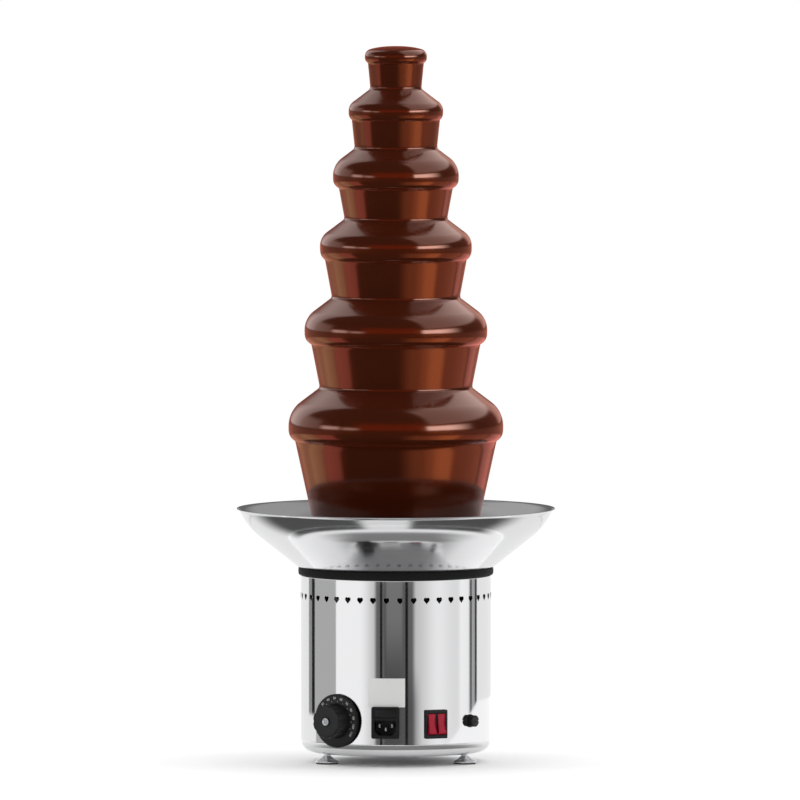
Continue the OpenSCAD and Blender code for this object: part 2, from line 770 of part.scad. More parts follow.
module thermostat_knob() {
    face = shell_r + knob_gap;
    color([0.05, 0.05, 0.05]) difference() {
        union() {
            on_panel(-knob_angle, face, knob_z) linear_extrude(skirt_t)
                polygon([for (i = [0 : 2 * skirt_teeth - 1])
                    polar(dial_r - (i % 2) * skirt_tooth, 180 * i / skirt_teeth)]);
            on_panel(-knob_angle, face + skirt_t, knob_z) rotate_extrude() polygon([
                [0, 0], [grip_r, 0], [grip_r - grip_taper, knob_h - skirt_t - grip_edge],
                [grip_r - grip_taper - grip_edge, knob_h - skirt_t], [0, knob_h - skirt_t]]);
        }
        on_panel(-knob_angle, face - 1, knob_z) cylinder(r = spindle_r, h = knob_h - 6);
        on_panel(-knob_angle, face + knob_h - cap_t, knob_z) cylinder(r = cap_r, h = 5);
    }
}

module knob_cap() {
    color("silver") difference() {
        on_panel(-knob_angle, shell_r + knob_gap + knob_h - cap_t, knob_z)
            cylinder(r = cap_r, h = cap_t + 0.6);
        for (x = [-1.4, 1.4]) on_panel(-knob_angle, shell_r + knob_gap + knob_h, knob_z)
            translate([x - 0.35, -2.5, 0]) cube([0.7, 5, 2]);
    }
}

module thermostat_spindle() {
    color("gray") on_panel(-knob_angle, thermostat_back - thermostat_h + 6, knob_z)
        cylinder(r = spindle_r, h = shell_r + knob_gap - 1 + knob_h - 6 - thermostat_back + thermostat_h - 6);
}

module foot(a) {
    color("silver") on_foot(a) {
        rotate_extrude() polygon([[0, 0.8], [sole_r, 0.8], [foot_r, 1.6], [foot_r, foot_rim_h],
            for (i = [1 : 5]) let (t = 90 * i / 5)
                [stud_r + 1.5 + (foot_r - stud_r - 1.5) * cos(t),
                    foot_rim_h + (foot_dome_h - foot_rim_h) * sin(t)],
            [0, foot_dome_h]]);
        translate([0, 0, foot_dome_h - 1]) cylinder(r = stud_r, h = stud_top_z - foot_dome_h + 1);
        cylinder(r = sole_r, h = 0.9);
    }
}

module foot_left() {
    foot(foot_angles[1]);
}

module foot_right() {
    foot(foot_angles[0]);
}

module foot_rear() {
    foot(foot_angles[2]);
}

// The pool fills the bowl up to its level, whatever wall it meets there
module chocolate_pool() {
    wall = bowl_wall(bowl_t);
    level = bowl_t + pool_h;
    color([0.2, 0.08, 0.04]) translate([0, 0, bowl_z]) rotate_extrude() polygon(concat(
        [[foot_ring_r + slip, bowl_t]],
        [for (p = wall) if (p[1] < level) p],
        [for (k = [1 : len(wall) - 1]) if (wall[k - 1][1] < level && wall[k][1] >= level)
            let (rise = wall[k] - wall[k - 1])
                wall[k - 1] + rise * (level - wall[k - 1][1]) / rise[1]],
        [[foot_ring_r + slip, level]]));
}

// Crowns, in radius and height above the bowl's floor
function slope(i) = let (
    to_neck = [neck_r[i] - crown_r[i] + shoulder_r[i], neck_rise[i]])
    90 - (atan2(to_neck[1], to_neck[0]) - acos(shoulder_r[i] / norm(to_neck)));
function shoulder_centre(i) = [crown_r[i] - shoulder_r[i], crown_z[i]];
function on_slope(i, o, r) = let (t = 90 - slope(i),
    p = shoulder_centre(i) + (shoulder_r[i] - o) * [cos(t), sin(t)])
    p[1] + (p[0] - r) * tan(slope(i));

// Crown's outline from radius r on its slope down to its band, set in by o
function dome(i, o, r) = concat(
    [[r, on_slope(i, o, r)]],
    [for (k = [arc_steps : -1 : 0]) let (a = (90 - slope(i)) * k / arc_steps)
        shoulder_centre(i) + (shoulder_r[i] - o) * [cos(a), sin(a)]]);

function band_z(i) = crown_z[i] - band_h[i];
function lip(i) = [for (k = [0 : arc_steps]) let (a = -lip_turn * k / arc_steps)
    [crown_r[i] - lip_r[i] * (1 - cos(a)), band_z(i) + lip_r[i] * sin(a)]];
function coat_r(i) = neck_r[i] - choc_t - coat_in;

// Where the curtain of level i lands: its outer and inner edge
function landing(i) = i == 0
    ? [[landing_r, pool_h], [landing_r - choc_t, pool_h]]
    : [[neck_r[i - 1], on_slope(i - 1, 0, neck_r[i - 1])],
       [neck_r[i - 1] - choc_t, on_slope(i - 1, 0, neck_r[i - 1] - choc_t)]];

// Everything below a level's band: lip, curtain, and back up to the crown's edge
function curtain(i) = concat(lip(i), landing(i), [
    [lip(i)[arc_steps][0] - choc_t, lip(i)[arc_steps][1]],
    [crown_r[i] - choc_t - crown_t, band_z(i) - edge_h],
    [crown_r[i] - choc_t, band_z(i) - edge_h]]);

module chocolate(i) {
    under = dome(i, choc_t, coat_r(i));
    color([0.2, 0.08, 0.04]) translate([0, 0, floor_z]) rotate_extrude() polygon(concat(
        dome(i, 0, coat_r(i)), curtain(i), [for (k = [len(under) - 1 : -1 : 0]) under[k]]));
}

function crown_top(i) = on_slope(i, choc_t, coat_r(i) - 0.2);

module crown(i) {
    under = dome(i, choc_t + crown_t, coat_r(i) - 0.2 - crown_t * tan(slope(i) / 2));
    top = crown_top(i);
    color("silver") translate([0, 0, floor_z]) rotate_extrude() polygon(concat(
        [[hub_r, top]], dome(i, choc_t, coat_r(i) - 0.2), [[crown_r[i] - choc_t, band_z(i) - edge_h],
        [crown_r[i] - choc_t - crown_t, band_z(i) - edge_h]],
        [for (k = [len(under) - 1 : -1 : 0]) under[k]],
        [[hub_r + crown_t, top - crown_t], [hub_r + crown_t, top - hub_h], [hub_r, top - hub_h]]));
}

module chocolate_1() {
    chocolate(0);
}

module chocolate_2() {
    chocolate(1);
}

module chocolate_3() {
    chocolate(2);
}

module chocolate_4() {
    chocolate(3);
}

module chocolate_5() {
    chocolate(4);
}

module crown_1() {
    crown(0);
}

module crown_2() {
    crown(1);
}

module crown_3() {
    crown(2);
}

module crown_4() {
    crown(3);
}

module crown_5() {
    crown(4);
}

// Outlet: a small flared crown on top of the tube
outlet_collar_z = tube_top_z - floor_z - outlet_collar_h;
outlet_in_r = crown_r[5] - choc_t - crown_t;
rim_z = crown_z[5] - outlet_drop;

module outlet_lip() {
    flare_z = tube_top_z - floor_z;
    color("silver") translate([0, 0, floor_z]) rotate_extrude() polygon([
        [hub_r, flare_z], [outlet_in_r - 1, rim_z], [crown_r[5] - choc_t, rim_z],
        [crown_r[5] - choc_t, band_z(5) - edge_h], [outlet_in_r, band_z(5) - edge_h],
        [outlet_in_r, rim_z - 1.6], [outlet_in_r - 0.5, rim_z - crown_t],
        [hub_r + crown_t, flare_z - crown_t],
        [hub_r + crown_t, outlet_collar_z], [hub_r, outlet_collar_z]]);
}

module chocolate_top() {
    start_a = outlet_turn;
    edge = shoulder_r[5];
    top = tower_h;
    joint_r = crown_r[5] - edge * (1 - cos(start_a));
    joint_z = crown_z[5] + edge * sin(start_a);
    color([0.2, 0.08, 0.04]) translate([0, 0, floor_z]) rotate_extrude() polygon(concat(
        [for (k = [0 : 5]) let (r = joint_r * k / 6) [r, top - (top - joint_z) * pow(r / joint_r, 2)]],
        [for (k = [arc_steps : -1 : 0]) let (a = start_a * k / arc_steps)
            [crown_r[5] - edge * (1 - cos(a)), crown_z[5] + edge * sin(a)]],
        curtain(5),
        [[crown_r[5] - choc_t, rim_z], [outlet_in_r - 1, rim_z], [hub_r, tube_top_z - floor_z],
        [tube_r - tube_t, tube_top_z - floor_z], [tube_r - tube_t, tube_top_z - floor_z + 1],
        [0, tube_top_z - floor_z + 1]]));
}

module tower_tube() {
    stop_z = floor_z + crown_top(0) - hub_h - stop_h;
    color("silver") difference() {
        union() {
            translate([0, 0, floor_z]) cylinder(r = tube_r, h = tube_top_z - floor_z);
            translate([0, 0, stop_z]) cylinder(r = tube_r + 3, h = stop_h);
        }
        translate([0, 0, floor_z - 1]) cylinder(r = tube_r - tube_t, h = tube_top_z - floor_z + 2);
        for (a = slot_angles) rotate([0, 0, a]) translate([0, -slot_w / 2, floor_z + foot_ring_t])
            cube([tube_r + 5, slot_w, slot_h]);
    }
}

module tower_foot() {
    color("silver") difference() {
        translate([0, 0, floor_z]) ring(foot_ring_r, tube_r, foot_ring_t);
        translate([0, 0, floor_z - 1]) spread(peg_angles, peg_reach)
            cylinder(r = peg_r + slip, h = foot_ring_t + 2);
    }
}

// Sleeves that hold the crowns apart, each from one crown's top to the next one's hub
module crown_spacers() {
    color("silver") for (i = [0 : 4]) {
        top = i == 4 ? outlet_collar_z : crown_top(i + 1) - hub_h;
        translate([0, 0, floor_z + crown_top(i)]) ring(hub_r + sleeve_t, hub_r, top - crown_top(i));
    }
}

module auger_shaft() {
    color("silver") difference() {
        translate([0, 0, auger_z]) cylinder(r = core_r, h = auger_top_z - auger_z);
        translate([0, 0, auger_z - 1]) cylinder(r = drive_r, h = socket_h + 1);
    }
}

// One thread of the auger: a sector of a ring, extruded with a twist
module auger_flight() {
    h = auger_top_z - flight_end - flight_z;
    span = 360 * flight_t / auger_pitch;
    steps = 3;
    color("silver") translate([0, 0, flight_z])
        linear_extrude(h, twist = -360 * h / auger_pitch, slices = ceil(h / auger_pitch * flight_turn_steps),
            segments = 0) polygon(concat([polar(core_r, 0)],
                [for (i = [0 : steps]) polar(auger_r, span * i / steps)], [polar(core_r, span)]));
}

base_shell();
foot_nuts();
deck_plate();
deck_screws();
bowl_gasket();
bowl();
locating_pegs();
bowl_studs();
heater_ring();
thermal_cutout();
shaft_bush();
bush_nut();
motor_posts();
motor_screws();
gearbox_case();
gearbox_cover();
idler_pin();
motor_can();
motor_stator();
motor_end_bell();
run_capacitor();
thermostat_body();
capillary_bulb();
power_inlet();
inlet_pins();
switch_housing();
fuse_holder();
chocolate_pool();
drive_shaft();
output_gear();
auger_shaft();
auger_flight();
idler_gear();
motor_rotor();
tower_tube();
tower_foot();
crown_1();
crown_2();
crown_3();
crown_4();
crown_5();
crown_spacers();
outlet_lip();
chocolate_1();
chocolate_2();
chocolate_3();
chocolate_4();
chocolate_5();
chocolate_top();
thermostat_knob();
knob_cap();
thermostat_spindle();
heat_rocker();
motor_rocker();
fuse_cap();
fuse_link();
foot_left();
foot_right();
foot_rear();
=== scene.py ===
# %% [markdown]
# # A six-level chocolate fountain
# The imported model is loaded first. It is the frame that everything else fits: a polished pot, a
# wide bowl, and a tower of crowns that chocolate runs over. The CAD holds the mechanism and the
# sizes, and this file gives each visible surface its real form and finish.

# %% Load the frame
import bpy
import json
import math
from mathutils import Matrix, Vector


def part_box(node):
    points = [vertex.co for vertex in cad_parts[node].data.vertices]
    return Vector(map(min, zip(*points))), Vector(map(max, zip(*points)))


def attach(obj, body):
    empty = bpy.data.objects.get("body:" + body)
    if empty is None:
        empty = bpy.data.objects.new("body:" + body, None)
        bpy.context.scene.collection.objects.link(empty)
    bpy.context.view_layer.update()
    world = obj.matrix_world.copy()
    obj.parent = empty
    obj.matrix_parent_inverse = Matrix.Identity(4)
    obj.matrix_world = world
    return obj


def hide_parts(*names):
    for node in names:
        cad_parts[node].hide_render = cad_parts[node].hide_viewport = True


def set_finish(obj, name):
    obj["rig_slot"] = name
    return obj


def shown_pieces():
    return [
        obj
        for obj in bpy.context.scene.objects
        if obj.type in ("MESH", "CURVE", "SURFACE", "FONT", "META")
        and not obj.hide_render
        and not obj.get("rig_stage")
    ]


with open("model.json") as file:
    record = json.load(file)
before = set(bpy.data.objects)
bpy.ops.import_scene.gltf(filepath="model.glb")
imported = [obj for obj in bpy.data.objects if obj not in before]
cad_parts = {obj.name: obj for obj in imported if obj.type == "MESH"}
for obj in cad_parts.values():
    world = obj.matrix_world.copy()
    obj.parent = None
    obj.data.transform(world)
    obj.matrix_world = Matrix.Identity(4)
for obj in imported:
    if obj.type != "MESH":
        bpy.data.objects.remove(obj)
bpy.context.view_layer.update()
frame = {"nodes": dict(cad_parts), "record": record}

MM = 0.001

# %% [markdown]
# ## Camera
# The photograph shows the tower almost from the side, a few degrees from above, with hardly any
# perspective. A long lens far away gives that, and keeps the tiers' curves alike from top to foot.

# %% Place the camera
PHOTO_WIDTH = 0.8932     # metres across the picture, on the tower's axis
CAMERA_DISTANCE = 25.0
CAMERA_ELEVATION = math.radians(3.3)
LOOK_AT = Vector((0.0046, 0.0, 0.4047))
SENSOR = 36.0

bpy.ops.object.camera_add()
camera = bpy.context.object
camera.name = "photo_camera"
camera.data.sensor_width = SENSOR
camera.data.lens = SENSOR * CAMERA_DISTANCE / PHOTO_WIDTH
camera.data.clip_end = 4 * CAMERA_DISTANCE
back = Vector((0.0, -math.cos(CAMERA_ELEVATION), math.sin(CAMERA_ELEVATION)))
camera.location = LOOK_AT + CAMERA_DISTANCE * back
camera.rotation_euler = (math.pi / 2 - CAMERA_ELEVATION, 0.0, 0.0)
bpy.context.scene.camera = camera
print("camera", tuple(round(v, 3) for v in camera.location), "lens", round(camera.data.lens))

# %% [markdown]
# ## Helpers for turned pieces
# Most of a fountain is turned or spun metal, and chocolate that runs over it is just as round. Such
# a piece could be a curve with a screw modifier. Here one helper draws the outline point by point
# with extrude, as by hand, and another spins it, so each step can be seen in edit mode.

# %% Select and draw
def only(piece):
    """Select one object alone, in object mode."""
    if bpy.context.mode != "OBJECT":
        bpy.ops.object.mode_set(mode="OBJECT")
    bpy.ops.object.select_all(action="DESELECT")
    if piece:
        piece.select_set(True)
        bpy.context.view_layer.objects.active = piece


def trace(name, points):
    """Draw a line through the points, in millimetres, and stay in edit mode with all selected."""
    only(None)
    first = Vector(points[0]) * MM
    bpy.ops.mesh.primitive_plane_add(size=MM, enter_editmode=True, location=first)
    bpy.ops.mesh.select_all(action="SELECT")
    bpy.ops.mesh.merge(type="CENTER")
    for here, there in zip(points, points[1:]):
        step = (Vector(there) - Vector(here)) * MM
        bpy.ops.mesh.extrude_region_move(TRANSFORM_OT_translate={"value": step})
    bpy.ops.mesh.select_all(action="SELECT")
    piece = bpy.context.object
    piece.name = piece.data.name = name
    return piece


print("drawing helpers ready")

# %% Finish and turn
MERGE = 2e-6     # metres: points closer than this become one
SMOOTH = 35.0    # degrees: edges that turn by more stay sharp


def smooth_by(piece, degrees):
    """Smooth a piece, but keep the edges that turn by more than an angle."""
    only(piece)
    bpy.ops.object.shade_smooth_by_angle(angle=math.radians(degrees))


def settle(piece, smooth=SMOOTH):
    """Merge doubles, turn the faces outwards, put the object's place in its mesh, smooth it."""
    if bpy.context.mode != "EDIT_MESH":
        only(piece)
        bpy.ops.object.mode_set(mode="EDIT")
    bpy.ops.mesh.select_all(action="SELECT")
    bpy.ops.mesh.remove_doubles(threshold=MERGE)
    bpy.ops.mesh.normals_make_consistent(inside=False)
    only(piece)
    bpy.ops.object.transform_apply(location=True, rotation=True, scale=True)
    if smooth:
        smooth_by(piece, smooth)
    return piece


def lathe(name, outline, steps):
    """Turn a closed outline of (radius, height) in millimetres about the tower's axis."""
    points = [(r, 0.0, z) for r, z in outline]
    piece = trace(name, points + points[:1])
    bpy.ops.mesh.spin(steps=steps, angle=2 * math.pi, center=(0, 0, 0), axis=(0, 0, 1))
    return settle(piece)


print("turning helpers ready")

# %% Arcs, and telling the frame
def arc(centre, radius, start, end, steps):
    """Points on an arc, with angles in degrees from the first axis."""
    spots = []
    for i in range(steps + 1):
        a = math.radians(start + (end - start) * i / steps)
        spots.append((centre[0] + radius * math.cos(a), centre[1] + radius * math.sin(a)))
    return spots


def ready(piece, node, body, slot):
    """Tell the frame what a piece stands for, what it moves with and its finish."""
    if node:
        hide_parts(node)
    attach(piece, body)
    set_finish(piece, slot)
    print(piece.name, "faces:", len(piece.data.polygons))
    return piece


print("a quarter of a circle:", len(arc((0, 0), 1.0, 0.0, 90.0, 8)), "points")

# %% [markdown]
# ## Heights and radii
# The outer sizes come from the frame, so every new piece sits where the CAD piece does. The
# roundings of the crowns are real sizes in millimetres, from the lowest crown up to the outlet.

# %% Sizes from the frame
def reach_of(node):
    """Largest radius of a turned node, in millimetres."""
    low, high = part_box(node)
    return max(high[0], -low[0]) / MM


def span_of(node):
    """Lowest and highest point of a node, in millimetres."""
    low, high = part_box(node)
    return low[2] / MM, high[2] / MM


shell_low, deck_z = span_of("base_shell")
shell_r = round(reach_of("base_shell"), 1)
bowl_low, bowl_high = span_of("bowl")
bowl_r = round(reach_of("bowl"), 1)
floor_z, pool_z = span_of("chocolate_pool")
dome_z = span_of("chocolate_top")[1]
print("shell", shell_r, "bowl", bowl_r, "pool", round(pool_z, 1), "top", round(dome_z, 1))

# %% Sizes of the levels
LEVELS = [f"chocolate_{i}" for i in range(1, 6)] + ["chocolate_top"]
OUTLET = 5                                                      # number of the last level
CROWN_R = [119.9, 102.0, 84.7, 70.2, 52.7, 34.6]                # widest radius
CROWN_RISE = [155.9, 263.3, 357.3, 435.6, 508.3, 569.3]         # from the bowl's floor
BAND_H = [8.2, 7.3, 9.2, 6.4, 6.2, 4.0]                         # upright band
LIP_R = [8.5, 8.8, 6.2, 7.6, 3.6, 3.5]                          # lip rolled in below it
SHOULDER_R = [33.5, 26.6, 19.0, 24.8, 12.4, 8.0]                # shoulder above it
NECK_R = [84.9, 71.3, 57.2, 45.9, 28.4]                         # where the next curtain lands
NECK_RISE = [43.1, 36.4, 30.2, 30.7, 24.6]                      # of that place over the band
LANDING_R = 88.0     # where the lowest curtain meets the pool
CHOC_T = 2.4         # thickness of the flowing coat
LIP_TURN = 70.0      # degrees that a lip turns inwards
CROWN_Z = [floor_z + rise for rise in CROWN_RISE]
print("widest places at", [round(z, 1) for z in CROWN_Z], "mm")

# %% [markdown]
# ## Flowing chocolate
# On the real fountain a sheet of melted chocolate runs over each crown, rolls round its lip and
# falls as a curtain that pulls inwards. A fluid simulation could give this, but it is slow and
# never twice the same. A calm flow is round, so each level is turned from one side view: a straight
# slope, a round shoulder, an upright band, the lip, the curtain and a small foot where it lands.

# %% Slope and shoulder
def slope_of(level):
    """Angle of a crown's straight slope, tangent to its shoulder, in degrees."""
    across = NECK_R[level] - CROWN_R[level] + SHOULDER_R[level]
    reach = math.hypot(across, NECK_RISE[level])
    rise = math.atan2(NECK_RISE[level], across)
    return 90.0 - math.degrees(rise - math.acos(SHOULDER_R[level] / reach))


def on_slope(level, depth, radius):
    """Height of a crown's slope at a radius, set in by depth."""
    turn = math.radians(90.0 - slope_of(level))
    size = SHOULDER_R[level] - depth
    r = CROWN_R[level] - SHOULDER_R[level] + size * math.cos(turn)
    z = CROWN_Z[level] + size * math.sin(turn)
    return z + (r - radius) * math.tan(math.radians(slope_of(level)))


def roof(level, depth, radius, steps):
    """A crown's side view from a radius on its slope out to its widest place."""
    centre = (CROWN_R[level] - SHOULDER_R[level], CROWN_Z[level])
    start = 90.0 - slope_of(level)
    shoulder = arc(centre, SHOULDER_R[level] - depth, start, 0.0, steps)
    return [(radius, on_slope(level, depth, radius))] + shoulder


print("slopes:", [round(slope_of(level), 1) for level in range(OUTLET)], "degrees")

# %% Landing, band and lip
LIP_ROWS = 16


def landing(level):
    """Radius and height where the curtain of a level lands."""
    if level == 0:
        return LANDING_R, pool_z
    return NECK_R[level - 1], on_slope(level - 1, 0.0, NECK_R[level - 1])


def band_and_lip(level):
    """Side view of a crown's upright band and of the lip that rolls in below it."""
    turn = math.radians(LIP_TURN)
    inwards = 1.2 * LIP_R[level] * (1 - math.cos(turn))
    tall = BAND_H[level] + LIP_R[level] * math.sin(turn)
    rows = [i / LIP_ROWS for i in range(1, LIP_ROWS + 1)]
    return [(CROWN_R[level] - inwards * t ** 3.5, CROWN_Z[level] - tall * t) for t in rows]


print("lips end at", [round(band_and_lip(level)[-1][1], 1) for level in range(len(LEVELS))], "mm")

# %% Curtain and foot
FOOT = 1.6           # spread of a curtain's foot
FOOT_H = 2.5 * FOOT
CREASE = 0.7         # height of the crease between lip and curtain
BEHIND = 0.6         # the curtain starts this far behind the lip
EMBED = 0.6          # and ends this deep in the chocolate that it lands on
CURTAIN_ROWS, FOOT_ROWS = 14, 6


def falling(level):
    """Side view from the crown's widest place down: band, lip, crease, curtain and foot."""
    lip = band_and_lip(level)
    lip_r, lip_z = lip[-1]
    foot_r, foot_z = landing(level)
    lean = (lip_r - foot_r) / (lip_z - foot_z)
    start_z = lip_z - 0.6 * CREASE
    curtain = [(lip_r - 0.55, lip_z - 0.25 * CREASE), (lip_r - lean * 0.6 * CREASE - BEHIND, start_z)]
    for i in range(1, CURTAIN_ROWS + 1):
        z = start_z + (foot_z + FOOT_H - start_z) * i / CURTAIN_ROWS
        curtain.append((lip_r - BEHIND - (lean - BEHIND / (lip_z - foot_z)) * (lip_z - z), z))
    base_r, base_z = curtain[-1]
    sag = 0.0 if level == 0 else 0.75 * FOOT
    spread = []
    for i in range(1, FOOT_ROWS + 1):
        t = i / FOOT_ROWS
        spread.append((base_r - lean * FOOT_H * t + FOOT * t ** 3,
                       base_z - FOOT_H * t ** 0.8 - sag * t ** 3))
    inner_r = foot_r - CHOC_T
    inner_z = pool_z - 1.0 if level == 0 else on_slope(level - 1, EMBED, inner_r)
    inside = [(foot_r - 0.5 * CHOC_T, inner_z), (inner_r, inner_z + 0.8), (lip_r - CHOC_T, lip_z)]
    return lip + curtain + spread + inside


print("points from band to foot:", len(falling(0)))

# %% Turn the six levels
FLOW_STEPS = 224
CUP_R = 20.5         # bore of the outlet, filled with chocolate
DOME_ROWS = 14
OUTLET_TURN = 76.0   # degrees of the outlet's shoulder


def crown_outline(level):
    """Closed side view of the coat on a crown."""
    start = NECK_R[level] - CHOC_T - 1.5
    over = roof(level, 0.0, start, 26)
    under = roof(level, CHOC_T - 0.1, start, 10)
    return over + falling(level) + coat_end(level) + under[::-1]


def coat_end(level):
    """Where the coat ends behind the band."""
    z = CROWN_Z[level] - BAND_H[level] - 1.0
    return [(CROWN_R[level] - CHOC_T - 1.2, z), (CROWN_R[level] - CHOC_T, z)]


def outlet_outline():
    """Closed side view of the low dome that wells up at the outlet."""
    radius, widest = SHOULDER_R[OUTLET], CROWN_R[OUTLET]
    shoulder = arc((widest - radius, CROWN_Z[OUTLET]), radius, OUTLET_TURN, 0.0, 18)
    joint_r, joint_z = shoulder[0]
    rows = [i / DOME_ROWS for i in range(DOME_ROWS)]
    dome = [(joint_r * t, dome_z - (dome_z - joint_z) * t ** 2.6) for t in rows]
    rim_z = CROWN_Z[OUTLET] - 3.0
    inside = [(widest - CHOC_T, rim_z), (widest - CHOC_T - 2.2, rim_z), (CUP_R + 1.7, rim_z - 3.0),
              (CUP_R, rim_z - 3.0), (CUP_R, rim_z - 2.0), (0.0, rim_z - 2.0)]
    return dome + shoulder + falling(OUTLET) + coat_end(OUTLET) + inside


for level, node in enumerate(LEVELS):
    outline = outlet_outline() if level == OUTLET else crown_outline(level)
    ready(lathe(f"flow_{node}", outline, FLOW_STEPS), node, "tower", "chocolate")

# %% [markdown]
# ## Chocolate in the bowl
# The bowl holds a ring of melted chocolate round the foot of the tower. A flat disc would look like
# a lid, because a liquid has a shaped edge. So its top creeps up a little where it wets the steel,
# and swells where the curtain runs into it.

# %% The pool
BOWL_SLOPE = 38.6        # degrees: the bowl's lower wall
BOWL_FLOOR_R = 109.2     # where that wall starts, outside
WELL_R = 34.6            # round gap for the tower's foot
bowl_t = floor_z - bowl_low
tan_slope = math.tan(math.radians(BOWL_SLOPE))
tan_half = math.tan(math.radians(BOWL_SLOPE / 2))


def wall_r(height):
    """Inner radius of the bowl's straight wall at a height."""
    return BOWL_FLOOR_R - bowl_t * tan_half + (height - floor_z) / tan_slope


outer_r = wall_r(pool_z)
bottom = [(WELL_R, floor_z + 0.2), (wall_r(floor_z) - 0.4, floor_z + 0.2), (outer_r - 0.4, pool_z)]
creep = [(outer_r - 5.0 + 6.6 * t, pool_z + 1.2 * t ** 3) for t in (1.0, 0.9, 0.7, 0.4, 0.0)]
swell = [(LANDING_R + 2.0 + 14.0 * t, pool_z + 0.9 * (1 - t) ** 2) for t in (1.0, 0.6, 0.35, 0.15, 0.0)]
still = [(LANDING_R - 5.0, pool_z + 0.4), (WELL_R, pool_z)]
pool = lathe("melted_pool", bottom + creep + swell + still, 192)
ready(pool, "chocolate_pool", "base", "chocolate")

# %% [markdown]
# ## The bowl
# A spun bowl: flat bottom, straight lower wall, a wall that curves up, and a rim that flares out.
# It is mirror-polished, so it is turned from smooth arcs, because facets show in a reflection. The
# curve of the wall is the arc that leaves the straight wall without a kink and ends at the rim.

# %% Turn the bowl
BOWL_TURN = 27.6     # degrees by which the wall steepens
BEND_R = 5.0         # between bottom and wall
EDGE_R = 0.55        # rounded edge of the rim
BUSH_R = 10.1        # hole for the drive shaft's bush
bowl_h = bowl_high - bowl_low
slope = math.radians(BOWL_SLOPE)
end = Vector((bowl_r - 3.8, bowl_h - 3.4))
chord = math.tan(math.radians(BOWL_SLOPE + BOWL_TURN / 2))
start_r = (end[1] - end[0] * chord + BOWL_FLOOR_R * tan_slope) / (tan_slope - chord)
start = Vector((start_r, (start_r - BOWL_FLOOR_R) * tan_slope))
curve_r = (end - start).length / 2 / math.sin(math.radians(BOWL_TURN / 2))
centre = start + curve_r * Vector((-math.sin(slope), math.cos(slope)))


def bowl_side(depth):
    """Outside of the bowl set in by depth, from the flat bottom to the flare."""
    bend_r = BOWL_FLOOR_R - depth * tan_half - 1.75
    bend = arc((bend_r, BEND_R + depth), BEND_R, -90.0, BOWL_SLOPE - 90.0, 5)
    return bend + arc(centre, curve_r - depth, BOWL_SLOPE - 90.0, BOWL_SLOPE + BOWL_TURN - 90.0, 24)


flare = [(bowl_r - 2.9, bowl_h - 2.1), (bowl_r - 1.6, bowl_h - 1.5), (bowl_r - 0.4, bowl_h - 1.1)]
edge = arc((bowl_r - EDGE_R, bowl_h - EDGE_R), EDGE_R, -90.0, 90.0, 8)
back_in = [(bowl_r - 1.9, bowl_h - 0.25), (bowl_r - 3.4, bowl_h - 1.1)]
side_view = bowl_side(0.0) + flare + edge + back_in + bowl_side(bowl_t)[::-1]
outline = [(BUSH_R, bowl_low)] + [(r, z + bowl_low) for r, z in side_view] + [(BUSH_R, floor_z)]
ready(lathe("spun_bowl", outline, 256), "bowl", "base", "polished_steel")

# %% [markdown]
# ## Helpers for shaped pieces
# The fittings on the panel are not turned. They are drawn as a flat outline, given a thickness,
# cut where something goes in, and bevelled, since no moulded or punched edge is perfectly sharp.

# %% Draw and extrude
def closed_line(name, points):
    """Draw a closed line through the points, in millimetres, and stay in edit mode."""
    piece = trace(name, points + points[:1])
    bpy.ops.mesh.remove_doubles(threshold=MERGE)
    return piece


def raise_rings(steps):
    """Extrude the selected ring step by step: up by a rise, then wider by a factor."""
    for rise, grow in steps:
        bpy.ops.mesh.extrude_region_move(TRANSFORM_OT_translate={"value": (0, 0, rise * MM)})
        bpy.ops.transform.resize(value=(grow, grow, 1.0), center_override=(0, 0, 0))


def prism(name, outline, low, high):
    """Give a flat outline in millimetres a thickness from low to high."""
    piece = closed_line(name, [(x, y, low) for x, y in outline])
    bpy.ops.mesh.edge_face_add()
    bpy.ops.mesh.extrude_region_move(TRANSFORM_OT_translate={"value": (0, 0, (high - low) * MM)})
    return settle(piece, 0)


def oblong(width, height, x=0.0):
    """A plain rectangle with its centre at x."""
    w, h = width / 2, height / 2
    return [(x - w, -h), (x + w, -h), (x + w, h), (x - w, h)]


def rounded(width, height, radius, steps=5):
    """A rectangle with round corners, about its centre."""
    x, y = width / 2 - radius, height / 2 - radius
    spots = []
    for cx, cy, first in ((x, y, 0.0), (-x, y, 90.0), (-x, -y, 180.0), (x, -y, 270.0)):
        spots += arc((cx, cy), radius, first, first + 90.0, steps)
    return spots


def polar(radius, degrees):
    """A point at a radius and an angle."""
    return radius * math.cos(math.radians(degrees)), radius * math.sin(math.radians(degrees))


print("outline helpers ready")

# %% Cut and bevel
BEVEL_OVER = 28.0    # degrees: edges that turn by less aren't rounded


def use(piece, kind, **settings):
    """Add a modifier with settings and apply it."""
    only(piece)
    bpy.ops.object.modifier_add(type=kind)
    modifier = piece.modifiers[-1]
    for key, value in settings.items():
        setattr(modifier, key, value)
    bpy.ops.object.modifier_apply(modifier=modifier.name)
    return piece


def combine(piece, other, operation="DIFFERENCE"):
    """Cut another piece away from this one, or unite them, and delete the other."""
    use(piece, "BOOLEAN", object=other, operation=operation, solver="EXACT")
    only(other)
    bpy.ops.object.delete()


def bevel(piece, width, segments=2):
    """Round the sharp edges by a width in millimetres."""
    use(piece, "BEVEL", width=width * MM, segments=segments, limit_method="ANGLE",
        angle_limit=math.radians(BEVEL_OVER), miter_outer="MITER_ARC", use_clamp_overlap=True)
    smooth_by(piece, SMOOTH)
    return piece


print("cutting helpers ready")

# %% Join and place
def join(pieces, name):
    """Join pieces into one."""
    only(None)
    for piece in pieces:
        piece.select_set(True)
    bpy.context.view_layer.objects.active = pieces[0]
    bpy.ops.object.join()
    joined = bpy.context.object
    joined.name = joined.data.name = name
    return joined


